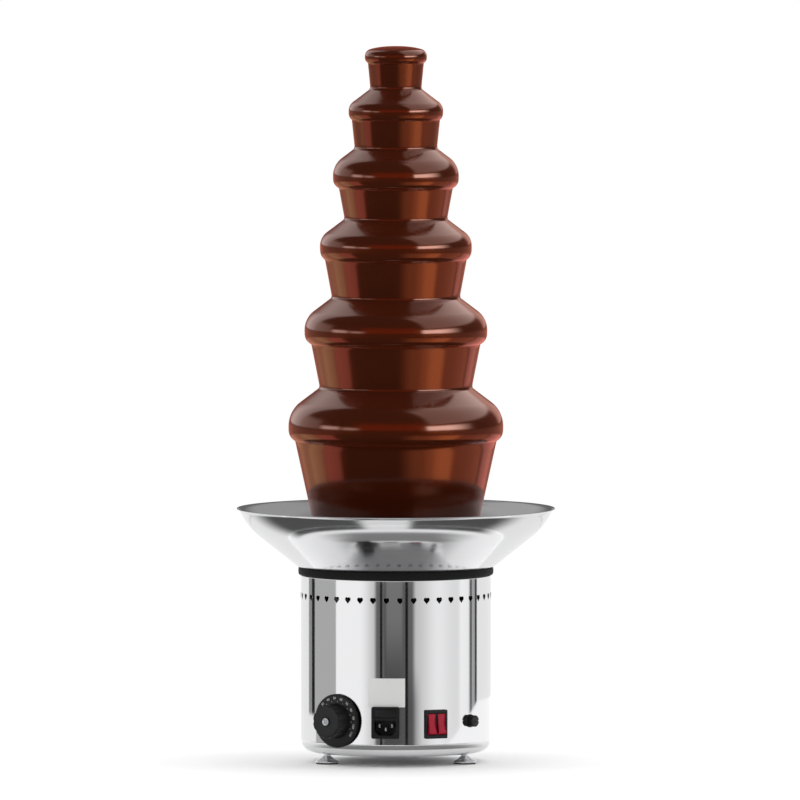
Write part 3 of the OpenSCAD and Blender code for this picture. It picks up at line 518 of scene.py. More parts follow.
def place(piece, matrix):
    """Move a finished piece and put the move into its mesh."""
    piece.data.transform(matrix)
    return piece


def shift(x, y):
    """A move across and up on a fitting, in millimetres."""
    return Matrix.Translation((x * MM, y * MM, 0.0))


print("placing helpers ready")

# %% [markdown]
# ## The base shell
# The pot is drawn from one sheet of steel, with a round bottom corner and a flange turned in at the
# top. A cylinder with a bevel would do for the outside. One turned side view also gives the sheet's
# thickness, which the vents show. A second copy stays uncut for the next step.

# %% Turn the shell
CORNER_R = 14.0
SHEET = 1.0
TOP_R, TOP_INNER_R = 0.7, 0.6     # roundings at the flange
FLANGE_W = 18.0
corner_at = (shell_r - CORNER_R, shell_low + CORNER_R)
rows = [corner_at[1] + 0.4] + [corner_at[1] + 22.0 * i for i in range(1, 8)] + [deck_z - 1.2]


def shell_side(depth):
    """Side view of the shell set in by depth, from the middle of its bottom to under its top."""
    corner = arc(corner_at, CORNER_R - depth, -90.0, 0.0, 16)
    bottom = [(0.0, shell_low + depth), (60.0, shell_low + depth)]
    return bottom + corner + [(shell_r - depth, z) for z in rows]


top = arc((shell_r - TOP_R, deck_z - TOP_R), TOP_R, 0.0, 90.0, 6)
flange = [(shell_r - FLANGE_W, deck_z), (shell_r - FLANGE_W, deck_z - SHEET)]
flange += arc((shell_r - SHEET - TOP_INNER_R, deck_z - SHEET - TOP_INNER_R), TOP_INNER_R, 90.0, 0.0, 4)
shell = lathe("pot_shell", shell_side(0.0) + top + flange + shell_side(SHEET)[::-1], 256)
only(shell)
bpy.ops.object.duplicate()
uncut = bpy.context.object
print("shell", round(shell_r, 1), "by", round(deck_z - shell_low, 1), "mm")

# %% [markdown]
# ## Vents and windows
# Round the top runs a row of punched hearts, and four windows take the fittings of the panel.
# Booleans cut them, but leave long thin faces that dent the reflections of a polished wall. So the
# normals of the uncut copy are copied back onto the cut shell.

# %% Hearts round the pot
VENTS, VENT_Z, VENT_W = 44, 186.2, 7.0
VENT_TALL = 1.14     # a heart is drawn this much taller than two half discs give
VENT_TURN = 2.5      # degrees from the front to the first heart


def on_shell(angle, reach, height):
    """Matrix of a place on the panel: local Z points out of the base, local Y up."""
    turn = Matrix.Rotation(math.radians(angle), 4, "Z")
    out = Matrix.Translation((0.0, -reach * MM, height * MM))
    return turn @ out @ Matrix.Rotation(math.pi / 2, 4, "X")


def heart(width, steps=12):
    """Outline of a heart that points down: a square on its corner with two half discs."""
    side = width / 1.707
    reach, shift_out = side / math.sqrt(2), side / math.sqrt(8)
    right = arc((shift_out, shift_out), side / 2, -45.0, 135.0, steps)
    left = arc((-shift_out, shift_out), side / 2, 45.0, 225.0, steps)
    return [(x, VENT_TALL * y) for x, y in [(0.0, -reach)] + right + left[1:]]


def round_the_pot(piece):
    """Repeat a piece once for every vent."""
    place(piece, on_shell(VENT_TURN, shell_r, VENT_Z))
    only(piece)
    bpy.ops.object.mode_set(mode="EDIT")
    bpy.ops.mesh.select_all(action="SELECT")
    bpy.ops.mesh.spin(steps=VENTS - 1, dupli=True, angle=2 * math.pi * (VENTS - 1) / VENTS,
                      center=(0, 0, 0), axis=(0, 0, 1))
    bpy.ops.object.mode_set(mode="OBJECT")
    return piece


print("hearts:", VENTS, "of", len(heart(VENT_W)), "points")

# %% Cut the vents and windows
# each fitting's place: degrees round the pot from its front, and height
KNOB_AT, INLET_AT, SWITCH_AT, FUSE_AT = (-37.5, 51.7), (-6.2, 51.0), (24.6, 48.9), (51.0, 50.5)
INLET_BODY, SWITCH_BODY = (27.0, 32.0), (23.0, 28.0)
SPINDLE_R, FUSE_BODY_R = 5.0, 6.0
GAP = 0.4            # clearance of a window across its fitting


def round_hole(radius):
    """Outline of a small round hole."""
    return arc((0, 0), radius, 0.0, 345.0, 23)


combine(shell, round_the_pot(prism("vent_cutter", heart(VENT_W - 0.1), -5.0, 5.0)))
windows = {"inlet": (INLET_AT, rounded(INLET_BODY[0] + GAP, INLET_BODY[1] + GAP, 0.5, 1)),
           "switch": (SWITCH_AT, rounded(SWITCH_BODY[0] + GAP, SWITCH_BODY[1] + GAP, 0.5, 1)),
           "knob": (KNOB_AT, round_hole(SPINDLE_R + 0.1)),
           "fuse": (FUSE_AT, round_hole(FUSE_BODY_R + 0.1))}
for name, ((angle, height), outline) in windows.items():
    cutter = prism(f"{name}_window", outline, -8.0, 8.0)
    combine(shell, place(cutter, on_shell(angle, shell_r, height)))
smooth_by(shell, SMOOTH)
use(shell, "DATA_TRANSFER", object=uncut, use_loop_data=True, data_types_loops={"CUSTOM_NORMAL"},
    loop_mapping="POLYINTERP_LNORPROJ")
only(uncut)
bpy.ops.object.delete()
ready(shell, "base_shell", "base", "polished_steel")

# %% [markdown]
# ## Edges of the vents
# The punch leaves a rolled edge on each heart. It catches the light all round the dark hole, and
# it covers the cut faces. One edge is raised ring by ring and then repeated round the pot.

# %% Roll the vents' edges
rims = closed_line("vent_edges", [(x, y, -1.2) for x, y in heart(VENT_W - 0.3, 10)])
raise_rings(((1.1, 1.0), (0.2, 1.01), (0.05, 1.02), (-0.04, 1.025), (-0.2, 1.02)))
settle(rims)
round_the_pot(rims)
smooth_by(rims, 60.0)
ready(rims, None, "base", "polished_steel")

# %% [markdown]
# ## Gasket under the bowl
# A black rubber ring carries the bowl. It is turned like the bowl, but soft: its lower edge is
# rounded and it bulges a little under load.

# %% Turn the gasket
SEAT_R, BORE_R = 95.8, 100.2     # inner radius above and below its step
RUBBER_R = 2.5
gasket_r = reach_of("bowl_gasket")
gasket_low, gasket_high = span_of("bowl_gasket")
step_z = deck_z + 2.0
outline = [(SEAT_R, gasket_high), (SEAT_R, step_z), (BORE_R, step_z), (BORE_R, gasket_low)]
outline += arc((gasket_r - RUBBER_R, gasket_low + RUBBER_R), RUBBER_R, -90.0, 0.0, 8)
outline += [(gasket_r + 0.15, gasket_low + 5.5), (gasket_r - 0.2, gasket_high - 1.2)]
outline += arc((gasket_r - 1.0, gasket_high - 0.8), 0.8, 0.0, 90.0, 4)
ready(lathe("rubber_ring", outline, 192), "bowl_gasket", "base", "black_rubber")

# %% [markdown]
# ## Thermostat knob
# A moulded knob: a thin skirt with fine teeth round its edge that carries the scale, a tall grip
# with shallow flutes for the fingers, and a metal cap with two slots in the middle. Teeth and
# flutes could be cut one by one. Drawn into the outline they need no boolean and stay even.

# %% Mould the skirt and the grip
knob_place = on_shell(KNOB_AT[0], shell_r + 0.8, KNOB_AT[1])
DIAL_R, SKIRT_T, TEETH, TOOTH_H = 30.0, 3.6, 72, 0.7
GRIP_R, FLUTES, FLUTE_D = 19.6, 10, 1.1

teeth = []
for i in range(TEETH):
    turn = 360.0 / TEETH * i
    teeth += [polar(DIAL_R, turn), polar(DIAL_R, turn + 1.6), polar(DIAL_R - TOOTH_H, turn + 3.3)]
skirt = prism("dial_skirt", teeth, 0.0, 2.5)
only(skirt)
bpy.ops.object.mode_set(mode="EDIT")
bpy.ops.mesh.select_all(action="DESELECT")
bpy.ops.object.mode_set(mode="OBJECT")
for face in skirt.data.polygons:
    face.select = face.normal.z > 0.9
bpy.ops.object.mode_set(mode="EDIT")
raise_rings(((0.35, 0.985), (0.5, 0.955), (0.25, 0.7)))
settle(skirt, 30.0)

around = [polar(GRIP_R - FLUTE_D * math.cos(math.radians(FLUTES / 2 * a)) ** 8, a) for a in range(0, 360, 3)]
grip = closed_line("dial_grip", [(x, y, SKIRT_T - 0.6) for x, y in around])
raise_rings(((0.6, 1.0), (8.0, 0.975), (8.0, 0.975), (0.9, 0.985), (0.55, 0.965), (0.2, 0.95),
             (-0.1, 0.8), (-0.35, 0.55), (-0.1, 0.86), (0.0, 0.93), (-0.9, 0.98)))
bpy.ops.mesh.edge_face_add()
settle(grip, 40.0)
knob = place(join([skirt, grip], "dial_knob"), knob_place)
ready(knob, "thermostat_knob", "knob", "black_plastic")

# %% Set the metal cap
cap_side = [(0.0, 20.3), (4.5, 20.3), (4.5, 21.8), (4.2, 22.3), (3.6, 22.5), (3.2, 22.3), (0.0, 22.3)]
cap = lathe("knob_badge", cap_side, 64)
for x in (-1.3, 1.3):
    combine(cap, prism("slot_cutter", oblong(0.9, 4.6, x), 21.2, 24.0))
bevel(cap, 0.08, 1)
ready(place(cap, knob_place), "knob_cap", "knob", "polished_steel")

# %% [markdown]
# ## Scale on the dial
# Degrees in tens, from half past ten over the top to four o'clock, with a dot between each two.
# On the real knob they are printed. An image would blur in a close view, so they are raised text,
# thin as ink, that turns with the knob.

# %% Letter the scale
DEGREES = list(range(30, 111, 10))
SCALE_START, SCALE_END = -45.0, 122.0
NUMBER_R, DOT_R, PRINT_Z = 25.4, 22.0, 3.52
between = (SCALE_END - SCALE_START) / (len(DEGREES) - 1)


def dial_spot(radius, clockwise):
    """Place on the dial's face, measured clockwise from the top."""
    turn = Matrix.Rotation(-math.radians(clockwise), 4, "Z")
    return turn @ Matrix.Translation((0.0, radius * MM, PRINT_Z * MM))


def raised_text(words, size, thick):
    """Centred text as a thin mesh, sizes in millimetres."""
    only(None)
    bpy.ops.object.text_add(location=(0, 0, 0))
    text = bpy.context.object
    text.data.body = words
    text.data.align_x, text.data.align_y = "CENTER", "CENTER"
    text.data.size = size * MM
    text.data.extrude = thick * MM
    text.data.resolution_u = 3
    only(text)
    bpy.ops.object.convert(target="MESH")
    return bpy.context.object


marks = []
for i, number in enumerate(DEGREES):
    turn = SCALE_START + between * i
    marks.append(place(raised_text(str(number), 3.9, 0.05), dial_spot(NUMBER_R, turn)))
    if i:
        dot = prism("scale_dot", arc((0, 0), 0.42, 0.0, 330.0, 11), -0.05, 0.06)
        marks.append(place(dot, dial_spot(DOT_R, turn - between / 2)))
dial_scale = place(join(marks, "dial_scale"), knob_place)
ready(settle(dial_scale, 0), None, "knob", "white_plastic")

# %% [markdown]
# ## Mains inlet
# A standard appliance inlet: a moulded flange with a narrow drawer above, and a deep socket with
# two cut corners and three flat pins. Flange and body are united first, then the socket is cut
# through both, and one bevel at the end rounds every edge alike.

# %% Mould the inlet
inlet_place = on_shell(INLET_AT[0], shell_r, INLET_AT[1])
FITTING_BACK, FITTING_FRONT = -1.6, 3.0     # a fitting's flange, from behind the pot's wall
SOCKET_DROP, SOCKET_D = 5.8, 16.5
SOCKET_X, SOCKET_Y, SOCKET_CUT = 12.2, 8.3, 4.6
inlet = prism("inlet_flange", rounded(31.5, 35.5, 2.2), FITTING_BACK, FITTING_FRONT)
combine(inlet, prism("inlet_body", rounded(*INLET_BODY, 1.0, 2), -30.0, -1.0), "UNION")

x, y, cut_x, cut_y = SOCKET_X, SOCKET_Y, SOCKET_X - SOCKET_CUT, SOCKET_Y - SOCKET_CUT
corners = ((-x, y), (-x, -cut_y), (-cut_x, -y), (cut_x, -y), (x, -cut_y), (x, y))
socket = [(across, up - SOCKET_DROP) for across, up in corners]
combine(inlet, prism("socket_cutter", socket, FITTING_FRONT - SOCKET_D, 8.0))
drawer_at = shift(0.0, 10.6)
combine(inlet, place(prism("drawer_cutter", rounded(25.0, 9.4, 1.0), 2.3, 8.0), drawer_at))
bevel(inlet, 0.45)
drawer = bevel(place(prism("inlet_drawer", rounded(24.4, 8.8, 0.9), 2.2, 2.85), drawer_at), 0.2)
inlet = place(join([inlet, drawer], "mains_inlet"), inlet_place)
ready(inlet, "power_inlet", "base", "black_plastic")

blades = []
for name, x, y in (("live", -7.0, 2.0), ("neutral", 7.0, 2.0), ("earth", 0.0, -2.0)):
    blade = bevel(prism(f"{name}_blade", rounded(2.0, 4.0, 0.2, 1), -38.0, -3.5), 0.4)
    blades.append(place(blade, shift(x, y - SOCKET_DROP)))
ready(place(join(blades, "inlet_blades"), inlet_place), "inlet_pins", "base", "brass")

# %% [markdown]
# ## Double switch
# Two red rockers side by side in one black frame. Each rocker is a shallow V in side view, so one
# half always stands out. It is drawn in that side view, about the pin that it tilts on, and then
# stood up in its bay.

# %% Mould the frame
switch_place = on_shell(SWITCH_AT[0], shell_r, SWITCH_AT[1])
ROCKER_W, ROCKER_X = 9.2, 5.75
switch = prism("switch_frame", rounded(26.5, 32.0, 1.2), FITTING_BACK, FITTING_FRONT)
combine(switch, prism("switch_body", rounded(*SWITCH_BODY, 0.6, 1), -20.0, -1.0), "UNION")
for x in (-ROCKER_X, ROCKER_X):
    bay = prism("bay_cutter", rounded(ROCKER_W + 0.5, 24.6, 0.5, 2), -8.0, 8.0)
    combine(switch, place(bay, shift(x, 0.0)))
ready(place(bevel(switch, 0.4), switch_place), "switch_housing", "base", "black_plastic")

# %% Mould the rockers
ROCKER_R, TILT = 11.9, 10.0     # reach from the pin, and tilt at rest in degrees
FACE_HALF, FACE_ROWS, FACE_OUT = 10.9, 24, 3.0
VALLEY = 2.2                    # rounds the V where its two halves meet
lean = math.tan(math.radians(TILT))
side_view = []
for i in range(FACE_ROWS + 1):
    h = FACE_HALF * (2 * i / FACE_ROWS - 1)
    side_view.append((FACE_OUT + lean * math.sqrt(h * h + VALLEY), h))
for first, last in ((64.0, 110.0), (250.0, 296.0)):
    side_view += arc((0.0, 0.0), ROCKER_R, first, last, 6)
for x, node, body in ((-ROCKER_X, "heat_rocker", "heat_switch"), (ROCKER_X, "motor_rocker", "motor_switch")):
    rocker = bevel(prism(f"red_{node}", side_view, -ROCKER_W / 2, ROCKER_W / 2), 0.55, 3)
    tip = Matrix.Rotation(math.radians(TILT), 4, "Z")
    stand = Matrix(((0, 0, -1, x * MM), (0, 1, 0, 0), (1, 0, 0, 0), (0, 0, 0, 1)))
    ready(place(rocker, switch_place @ stand @ tip), node, body, "red_plastic")

# %% [markdown]
# ## Fuse holder
# A small round flange and a cap with a milled edge and a slot for a coin. Flange and stem are
# turned, and the milled cap is a prism, because its outline is the same all the way up.

# %% Mould the fuse holder
fuse_place = on_shell(FUSE_AT[0], shell_r, FUSE_AT[1])
FUSE_R, RIBS = 6.4, 24
collar = [(4.2, -30.0), (FUSE_BODY_R, -30.0), (FUSE_BODY_R, -0.6), (7.3, -0.6), (7.3, 1.1),
          (6.9, 1.6), (4.2, 1.6)]
ready(place(lathe("fuse_collar", collar, 64), fuse_place), "fuse_holder", "base", "black_plastic")

milled = []
for i in range(RIBS):
    turn = 360.0 / RIBS * i
    milled += [polar(FUSE_R, turn), polar(FUSE_R, turn + 6.5)]
    milled += [polar(FUSE_R - 0.45, turn + 9.0), polar(FUSE_R - 0.45, turn + 12.5)]
button = prism("fuse_button", milled, 1.9, 7.9)
combine(button, prism("coin_cutter", oblong(18.0, 1.4), 6.7, 9.0))
bevel(button, 0.25)
stem = lathe("fuse_stem", [(0.0, -8.0), (4.1, -8.0), (4.1, 2.2), (0.0, 2.2)], 48)
button = place(join([button, stem], "fuse_button"), fuse_place)
ready(button, "fuse_cap", "fuse", "black_plastic")

# %% [markdown]
# ## Feet
# Each foot is a chromed dome on a threaded stud, with a rubber sole that stands out below. A true
# helix would not be seen under the pot, so the thread is turned as rings at its pitch.

# %% Turn the feet
FOOT_REACH = 84.0
STUD_R, THREAD_R, PITCH = 4.0, 3.5, 1.2
thread = []
for i in range(22):
    z = 9.6 + PITCH * i
    thread += [(STUD_R, z), (STUD_R, z + 0.3), (THREAD_R, z + 0.6), (THREAD_R, z + 0.9)]
dome = [(0.0, 1.5), (12.7, 1.5), (13.2, 2.0), (13.2, 2.6), (12.6, 3.3), (10.9, 4.3), (8.8, 5.2),
        (7.1, 6.2), (6.2, 7.2), (5.7, 7.8), (5.0, 8.1), (4.4, 8.6), (4.0, 9.2)]
sole = [(0.0, 0.0), (11.9, 0.0), (12.3, 0.4), (12.4, 1.0), (12.2, 1.7), (0.0, 1.7)]
for foot, angle in (("foot_right", 66.0), ("foot_left", -66.0), ("foot_rear", 180.0)):
    there = Matrix.Rotation(math.radians(angle), 4, "Z") @ shift(0.0, -FOOT_REACH)
    chrome = lathe(f"{foot}_dome", dome + thread + [(3.2, 36.0), (0.0, 36.0)], 72)
    rubber = lathe(f"{foot}_sole", sole, 72)
    ready(place(chrome, there), foot, foot, "polished_steel")
    ready(place(rubber, there), None, foot, "black_rubber")

# %% [markdown]
# ## Blank rating label
# The photographed pot has a pale sticker over the inlet. It is kept as a blank sticker, spun about
# the pot's axis like the wall behind it, so that it lies on the steel all over.

# %% Bend the label
LABEL_ANGLE, LABEL_W = -5.7, 41.6
LABEL_LOW, LABEL_HIGH = 68.3, 100.4
half_turn = math.degrees(LABEL_W / 2 / shell_r)
inner, outer = shell_r + 0.02, shell_r + 0.2
section = [(inner, LABEL_LOW), (outer, LABEL_LOW), (outer, LABEL_HIGH), (inner, LABEL_HIGH)]
label = closed_line("blank_label", [(r, 0.0, z) for r, z in section])
bpy.ops.mesh.edge_face_add()
bpy.ops.mesh.spin(steps=24, angle=-math.radians(2 * half_turn), center=(0, 0, 0), axis=(0, 0, 1))
settle(label, 30.0)
place(label, Matrix.Rotation(math.radians(LABEL_ANGLE - 90.0 - half_turn), 4, "Z"))
ready(label, None, "base", "white_plastic")

# %% [markdown]
# ## Shared effects for the finishes
# Three small node groups are used by many finishes: fine lines that run round spun metal, a slow
# unevenness, and a fine grain. They give only values and normals, and each finish does the rest.

# %% Noise as a group
def new_group(name):
    """A node group with a scale and a strength, a value out and a bumped normal out."""
    tree = bpy.data.node_groups.new(name, "ShaderNodeTree")
    for socket_name, way, kind in (("Scale", "INPUT", "Float"), ("Strength", "INPUT", "Float"),
                                   ("Value", "OUTPUT", "Float"), ("Normal", "OUTPUT", "Vector")):
        tree.interface.new_socket(socket_name, in_out=way, socket_type=f"NodeSocket{kind}")
    return tree, tree.nodes.new("NodeGroupInput"), tree.nodes.new("NodeGroupOutput")


def finish_group(group, vector, detail, distance):
    """Noise over a vector, sent out as a value and as a bump."""
    tree, inputs, outputs = group
    noise = tree.nodes.new("ShaderNodeTexNoise")
    noise.inputs["Detail"].default_value = detail
    bump = tree.nodes.new("ShaderNodeBump")
    bump.inputs["Distance"].default_value = distance
    for source, target in (
            (vector, noise.inputs["Vector"]), (inputs.outputs["Scale"], noise.inputs["Scale"]),
            (inputs.outputs["Strength"], bump.inputs["Strength"]),
            (noise.outputs["Fac"], bump.inputs["Height"]),
            (noise.outputs["Fac"], outputs.inputs["Value"]),
            (bump.outputs["Normal"], outputs.inputs["Normal"])):
        tree.links.new(source, target)
    return tree


print("group helpers ready")

# %% The three effects
def plain_noise(name, detail, distance):
    """Noise over object coordinates."""
    group = new_group(name)
    spot = group[0].nodes.new("ShaderNodeTexCoord")
    return finish_group(group, spot.outputs["Object"], detail, distance)


def spun_noise(name, detail, distance):
    """Noise over radius and height, so that its lines run round the axis."""
    group = new_group(name)
    tree = group[0]
    spot, split, flat, size, both = (tree.nodes.new(f"ShaderNode{kind}") for kind in (
        "TexCoord", "SeparateXYZ", "CombineXYZ", "VectorMath", "CombineXYZ"))
    size.operation = "LENGTH"
    for source, target in (
            (spot.outputs["Object"], split.inputs[0]), (split.outputs["X"], flat.inputs["X"]),
            (split.outputs["Y"], flat.inputs["Y"]), (flat.outputs[0], size.inputs[0]),
            (size.outputs["Value"], both.inputs["X"]), (split.outputs["Z"], both.inputs["Z"])):
        tree.links.new(source, target)
    return finish_group(group, both.outputs[0], detail, distance)


UNEVEN = plain_noise("slow_unevenness", 2.0, 0.001)
GRAIN = plain_noise("fine_grain", 3.0, 0.0002)
SPUN = spun_noise("spun_lines", 3.0, 0.0002)
print("groups:", [g.name for g in bpy.data.node_groups])

# %% [markdown]
# ## Finishes
# Each finish starts from one principled shader. Its roughness is never quite even, and a faint
# bump keeps reflections from looking drawn with a ruler.

# %% Finish helpers
FINISHES = {}


def finish(name, color, **extra):
    """A principled material with constants set on the shader, by socket name."""
    material = bpy.data.materials.new(name)
    material.use_nodes = True
    shader = material.node_tree.nodes["Principled BSDF"]
    shader.inputs["Base Color"].default_value = (*color, 1.0)
    for key, value in extra.items():
        shader.inputs[key.replace("_", " ")].default_value = value
    FINISHES[name] = material
    return material.node_tree, shader


def surface(name, color, rough_low, rough_high, group, scale, strength, **extra):
    """A finish whose roughness and bump follow one shared effect."""
    tree, shader = finish(name, color, **extra)
    uneven = tree.nodes.new("ShaderNodeGroup")
    uneven.node_tree = group
    uneven.inputs["Scale"].default_value = scale
    uneven.inputs["Strength"].default_value = strength
    span = tree.nodes.new("ShaderNodeMapRange")
    # noise seldom leaves the range from 0.3 to 0.7
    for key, value in {"From Min": 0.3, "From Max": 0.7, "To Min": rough_low, "To Max": rough_high}.items():
        span.inputs[key].default_value = value
    tree.links.new(uneven.outputs["Value"], span.inputs["Value"])
    tree.links.new(span.outputs["Result"], shader.inputs["Roughness"])
    tree.links.new(uneven.outputs["Normal"], shader.inputs["Normal"])


print("finish helpers ready")

# %% Metals
for name, color, rough_low, rough_high, group, scale, strength in (
        ("pot_steel", (0.80, 0.80, 0.81), 0.05, 0.09, UNEVEN, 9.0, 0.02),
        ("bowl_steel", (0.78, 0.78, 0.79), 0.09, 0.16, SPUN, 260.0, 0.05),
        ("polished_steel", (0.77, 0.77, 0.78), 0.08, 0.14, UNEVEN, 30.0, 0.02),
        ("sheet_steel", (0.60, 0.60, 0.61), 0.26, 0.38, SPUN, 400.0, 0.1),
        ("zinc", (0.58, 0.59, 0.61), 0.25, 0.45, GRAIN, 220.0, 0.1),
        ("aluminium", (0.66, 0.67, 0.68), 0.32, 0.45, GRAIN, 500.0, 0.2),
        ("brass", (0.78, 0.66, 0.42), 0.2, 0.3, GRAIN, 300.0, 0.05),
        ("copper", (0.80, 0.42, 0.27), 0.25, 0.4, GRAIN, 300.0, 0.1)):
    surface(name, color, rough_low, rough_high, group, scale, strength, Metallic=1.0)
print("metals:", list(FINISHES))

# %% Plastics, rubber and paint
surface("motor_paint", (0.05, 0.10, 0.13), 0.35, 0.5, GRAIN, 250.0, 0.15)
surface("black_rubber", (0.008, 0.008, 0.008), 0.5, 0.7, GRAIN, 700.0, 0.25, Specular_IOR_Level=0.12)
surface("black_plastic", (0.009, 0.009, 0.009), 0.36, 0.48, GRAIN, 900.0, 0.12, Specular_IOR_Level=0.3)
surface("white_plastic", (0.72, 0.72, 0.71), 0.4, 0.5, GRAIN, 600.0, 0.05)
surface("dial_print", (0.52, 0.52, 0.52), 0.5, 0.6, GRAIN, 600.0, 0.05)
surface("label_film", (0.62, 0.62, 0.61), 0.38, 0.46, UNEVEN, 60.0, 0.02)
surface("red_plastic", (0.34, 0.004, 0.024), 0.28, 0.38, UNEVEN, 120.0, 0.03, Specular_IOR_Level=0.3)
print("finishes so far:", len(FINISHES))

# %% [markdown]
# ## Chocolate
# Melted chocolate is a dark brown body under a wet, glossy skin, and its thin edges glow red where
# light passes through. Scattering under the surface could show that, but is slow and grainy. Here a
# clear coat gives the wet skin, the body's own gloss is tinted orange-brown, and a red sheen gives
# the edges.

# %% Chocolate
surface("chocolate", (0.034, 0.0058, 0.0018), 0.17, 0.24, UNEVEN, 24.0, 0.05, Specular_IOR_Level=0.5,
        Specular_Tint=(1.0, 0.25, 0.05, 1.0), Coat_Weight=1.0, Coat_Roughness=0.1,
        Sheen_Weight=0.35, Sheen_Roughness=0.35, Sheen_Tint=(1.0, 0.16, 0.08, 1.0))
print("chocolate ready")

# %% [markdown]
# ## Hand out the finishes
# New pieces get theirs by name or slot. Every CAD node gets the finish of its slot too, because
# the inner parts show when the tower is lifted off.

# %% Paint everything
BY_NAME = {"pot_shell": "pot_steel", "vent_edges": "polished_steel", "spun_bowl": "bowl_steel",
           "dial_scale": "dial_print", "blank_label": "label_film", "knob_badge": "zinc",
           "inlet_blades": "zinc"}
slot_of = {row["node"]: row["material_slot"] for row in frame["record"]["subparts"]}
looks = [(node, slot_of[name]) for name, node in frame["nodes"].items()]
looks += [(piece, BY_NAME.get(piece.name, piece.get("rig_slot")))
          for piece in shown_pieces() if piece.name not in frame["nodes"]]
for piece, look in looks:
    piece.data.materials.clear()
    piece.data.materials.append(FINISHES[look])
print("painted:", len(looks))

# %% [markdown]
# ## The studio
# Polished steel and wet chocolate show their surroundings, so these are laid out like a product
# studio. A pale floor runs to the horizon and takes the shadow. Everything else is seen only by
# reflections: a white board under the pot, rings of grey and black cards round it, and two rooms
# far outside. A picture of a studio on the world would be quicker, but here every card can be
# moved until its band lies in the right place on the steel.

# %% Floor and board
FLOOR_R, RING_R, RING_H = 30.0, 0.32, 0.198


def disc(name, radius, height):
    """A flat round sheet, sizes in metres."""
    bpy.ops.mesh.primitive_circle_add(vertices=96, radius=radius, fill_type="NGON", location=(0, 0, height))
    bpy.context.object.name = name
    return bpy.context.object


floor = disc("studio_floor", FLOOR_R, 0.0)
finish("floor_paper", (1.0, 1.0, 1.0), Roughness=0.9, Specular_IOR_Level=0.0)
floor.data.materials.append(FINISHES["floor_paper"])
floor.visible_glossy = False
floor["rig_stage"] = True
board = disc("white_board", RING_R, 0.0002)
print("floor", FLOOR_R, "m, board", RING_R, "m")

# %% [markdown]
# ## Soft-edged panes
# Cards, boards and soft boxes are all painted as panes, each with its own place, edges and colour.
# Separate planes would show hard ends in a curved mirror. A painted pane can fade at each side.

# %% Maths for painting
def calculate(tree, operation, first, second=None):
    """One maths node on sockets or numbers."""
    node = tree.nodes.new("ShaderNodeMath")
    node.operation = operation
    for i, value in enumerate((first, second)):
        if isinstance(value, float):
            node.inputs[i].default_value = value
        elif value is not None:
            tree.links.new(value, node.inputs[i])
    return node.outputs[0]


def object_place(tree):
    """A point's place on its object: as a vector, and split into its three parts."""
    spot = tree.nodes.new("ShaderNodeTexCoord")
    parts = tree.nodes.new("ShaderNodeSeparateXYZ")
    tree.links.new(spot.outputs["Object"], parts.inputs[0])
    return spot.outputs["Object"], parts


def bearing(tree, parts):
    """Angle round the tower in degrees: 0 towards the camera, growing to the right."""
    forward = calculate(tree, "MULTIPLY", parts.outputs["Y"], -1.0)
    return calculate(tree, "DEGREES", calculate(tree, "ARCTAN2", parts.outputs["X"], forward))


print("maths helpers ready")

# %% A window with soft edges
LIMITS = ("Left", "Right", "Low", "High", "Left Edge", "Right Edge", "Low Edge", "High Edge")
window = bpy.data.node_groups.new("soft_window", "ShaderNodeTree")
for socket_name in ("Across", "Up") + LIMITS:
    window.interface.new_socket(socket_name, in_out="INPUT", socket_type="NodeSocketFloat")
window.interface.new_socket("Value", in_out="OUTPUT", socket_type="NodeSocketFloat")
given, result = window.nodes.new("NodeGroupInput"), window.nodes.new("NodeGroupOutput")


def window_side(along, limit, before, after):
    """One side of the window: from one value to the other, smooth across its edge."""
    half = calculate(window, "MULTIPLY", given.outputs[f"{limit} Edge"], 0.5)
    step = window.nodes.new("ShaderNodeMapRange")
    step.interpolation_type = "SMOOTHSTEP"
    step.inputs["To Min"].default_value = before
    step.inputs["To Max"].default_value = after
    window.links.new(given.outputs[along], step.inputs["Value"])
    for operation, end_name in (("SUBTRACT", "From Min"), ("ADD", "From Max")):
        window.links.new(calculate(window, operation, given.outputs[limit], half), step.inputs[end_name])
    return step.outputs["Result"]


across = calculate(window, "MULTIPLY", window_side("Across", "Left", 0.0, 1.0),
                   window_side("Across", "Right", 1.0, 0.0))
up = calculate(window, "MULTIPLY", window_side("Up", "Low", 0.0, 1.0), window_side("Up", "High", 1.0, 0.0))
window.links.new(calculate(window, "MULTIPLY", across, up), result.inputs["Value"])
print("window nodes:", len(window.nodes))

# %% Lay panes over one another
FACTOR, UNDER, OVER, MIXED = 0, 6, 7, 2     # sockets of a Mix node that mixes colours


def lay(tree, share, under, over):
    """Lay a colour over another by a share. The lower one is a socket or a constant."""
    layer = tree.nodes.new("ShaderNodeMix")
    layer.data_type = "RGBA"
    tree.links.new(share, layer.inputs[FACTOR])
    layer.inputs[OVER].default_value = (*over, 1.0)
    if isinstance(under, tuple):
        layer.inputs[UNDER].default_value = (*under, 1.0)
    else:
        tree.links.new(under, layer.inputs[UNDER])
    return layer.outputs[MIXED]


def paint_panes(tree, across, up, panes, ground):
    """Lay soft-edged panes of colour on a ground, the last on top."""
    seen = ground
    for left, right, low, high, sides, ends, colour in panes:
        pane = tree.nodes.new("ShaderNodeGroup")
        pane.node_tree = window
        tree.links.new(across, pane.inputs["Across"])
        tree.links.new(up, pane.inputs["Up"])
        for key, value in zip(LIMITS, (left, right, low, high, *sides, *ends)):
            pane.inputs[key].default_value = value
        seen = lay(tree, pane.outputs["Value"], seen, colour)
    return seen


print("pane helpers ready")

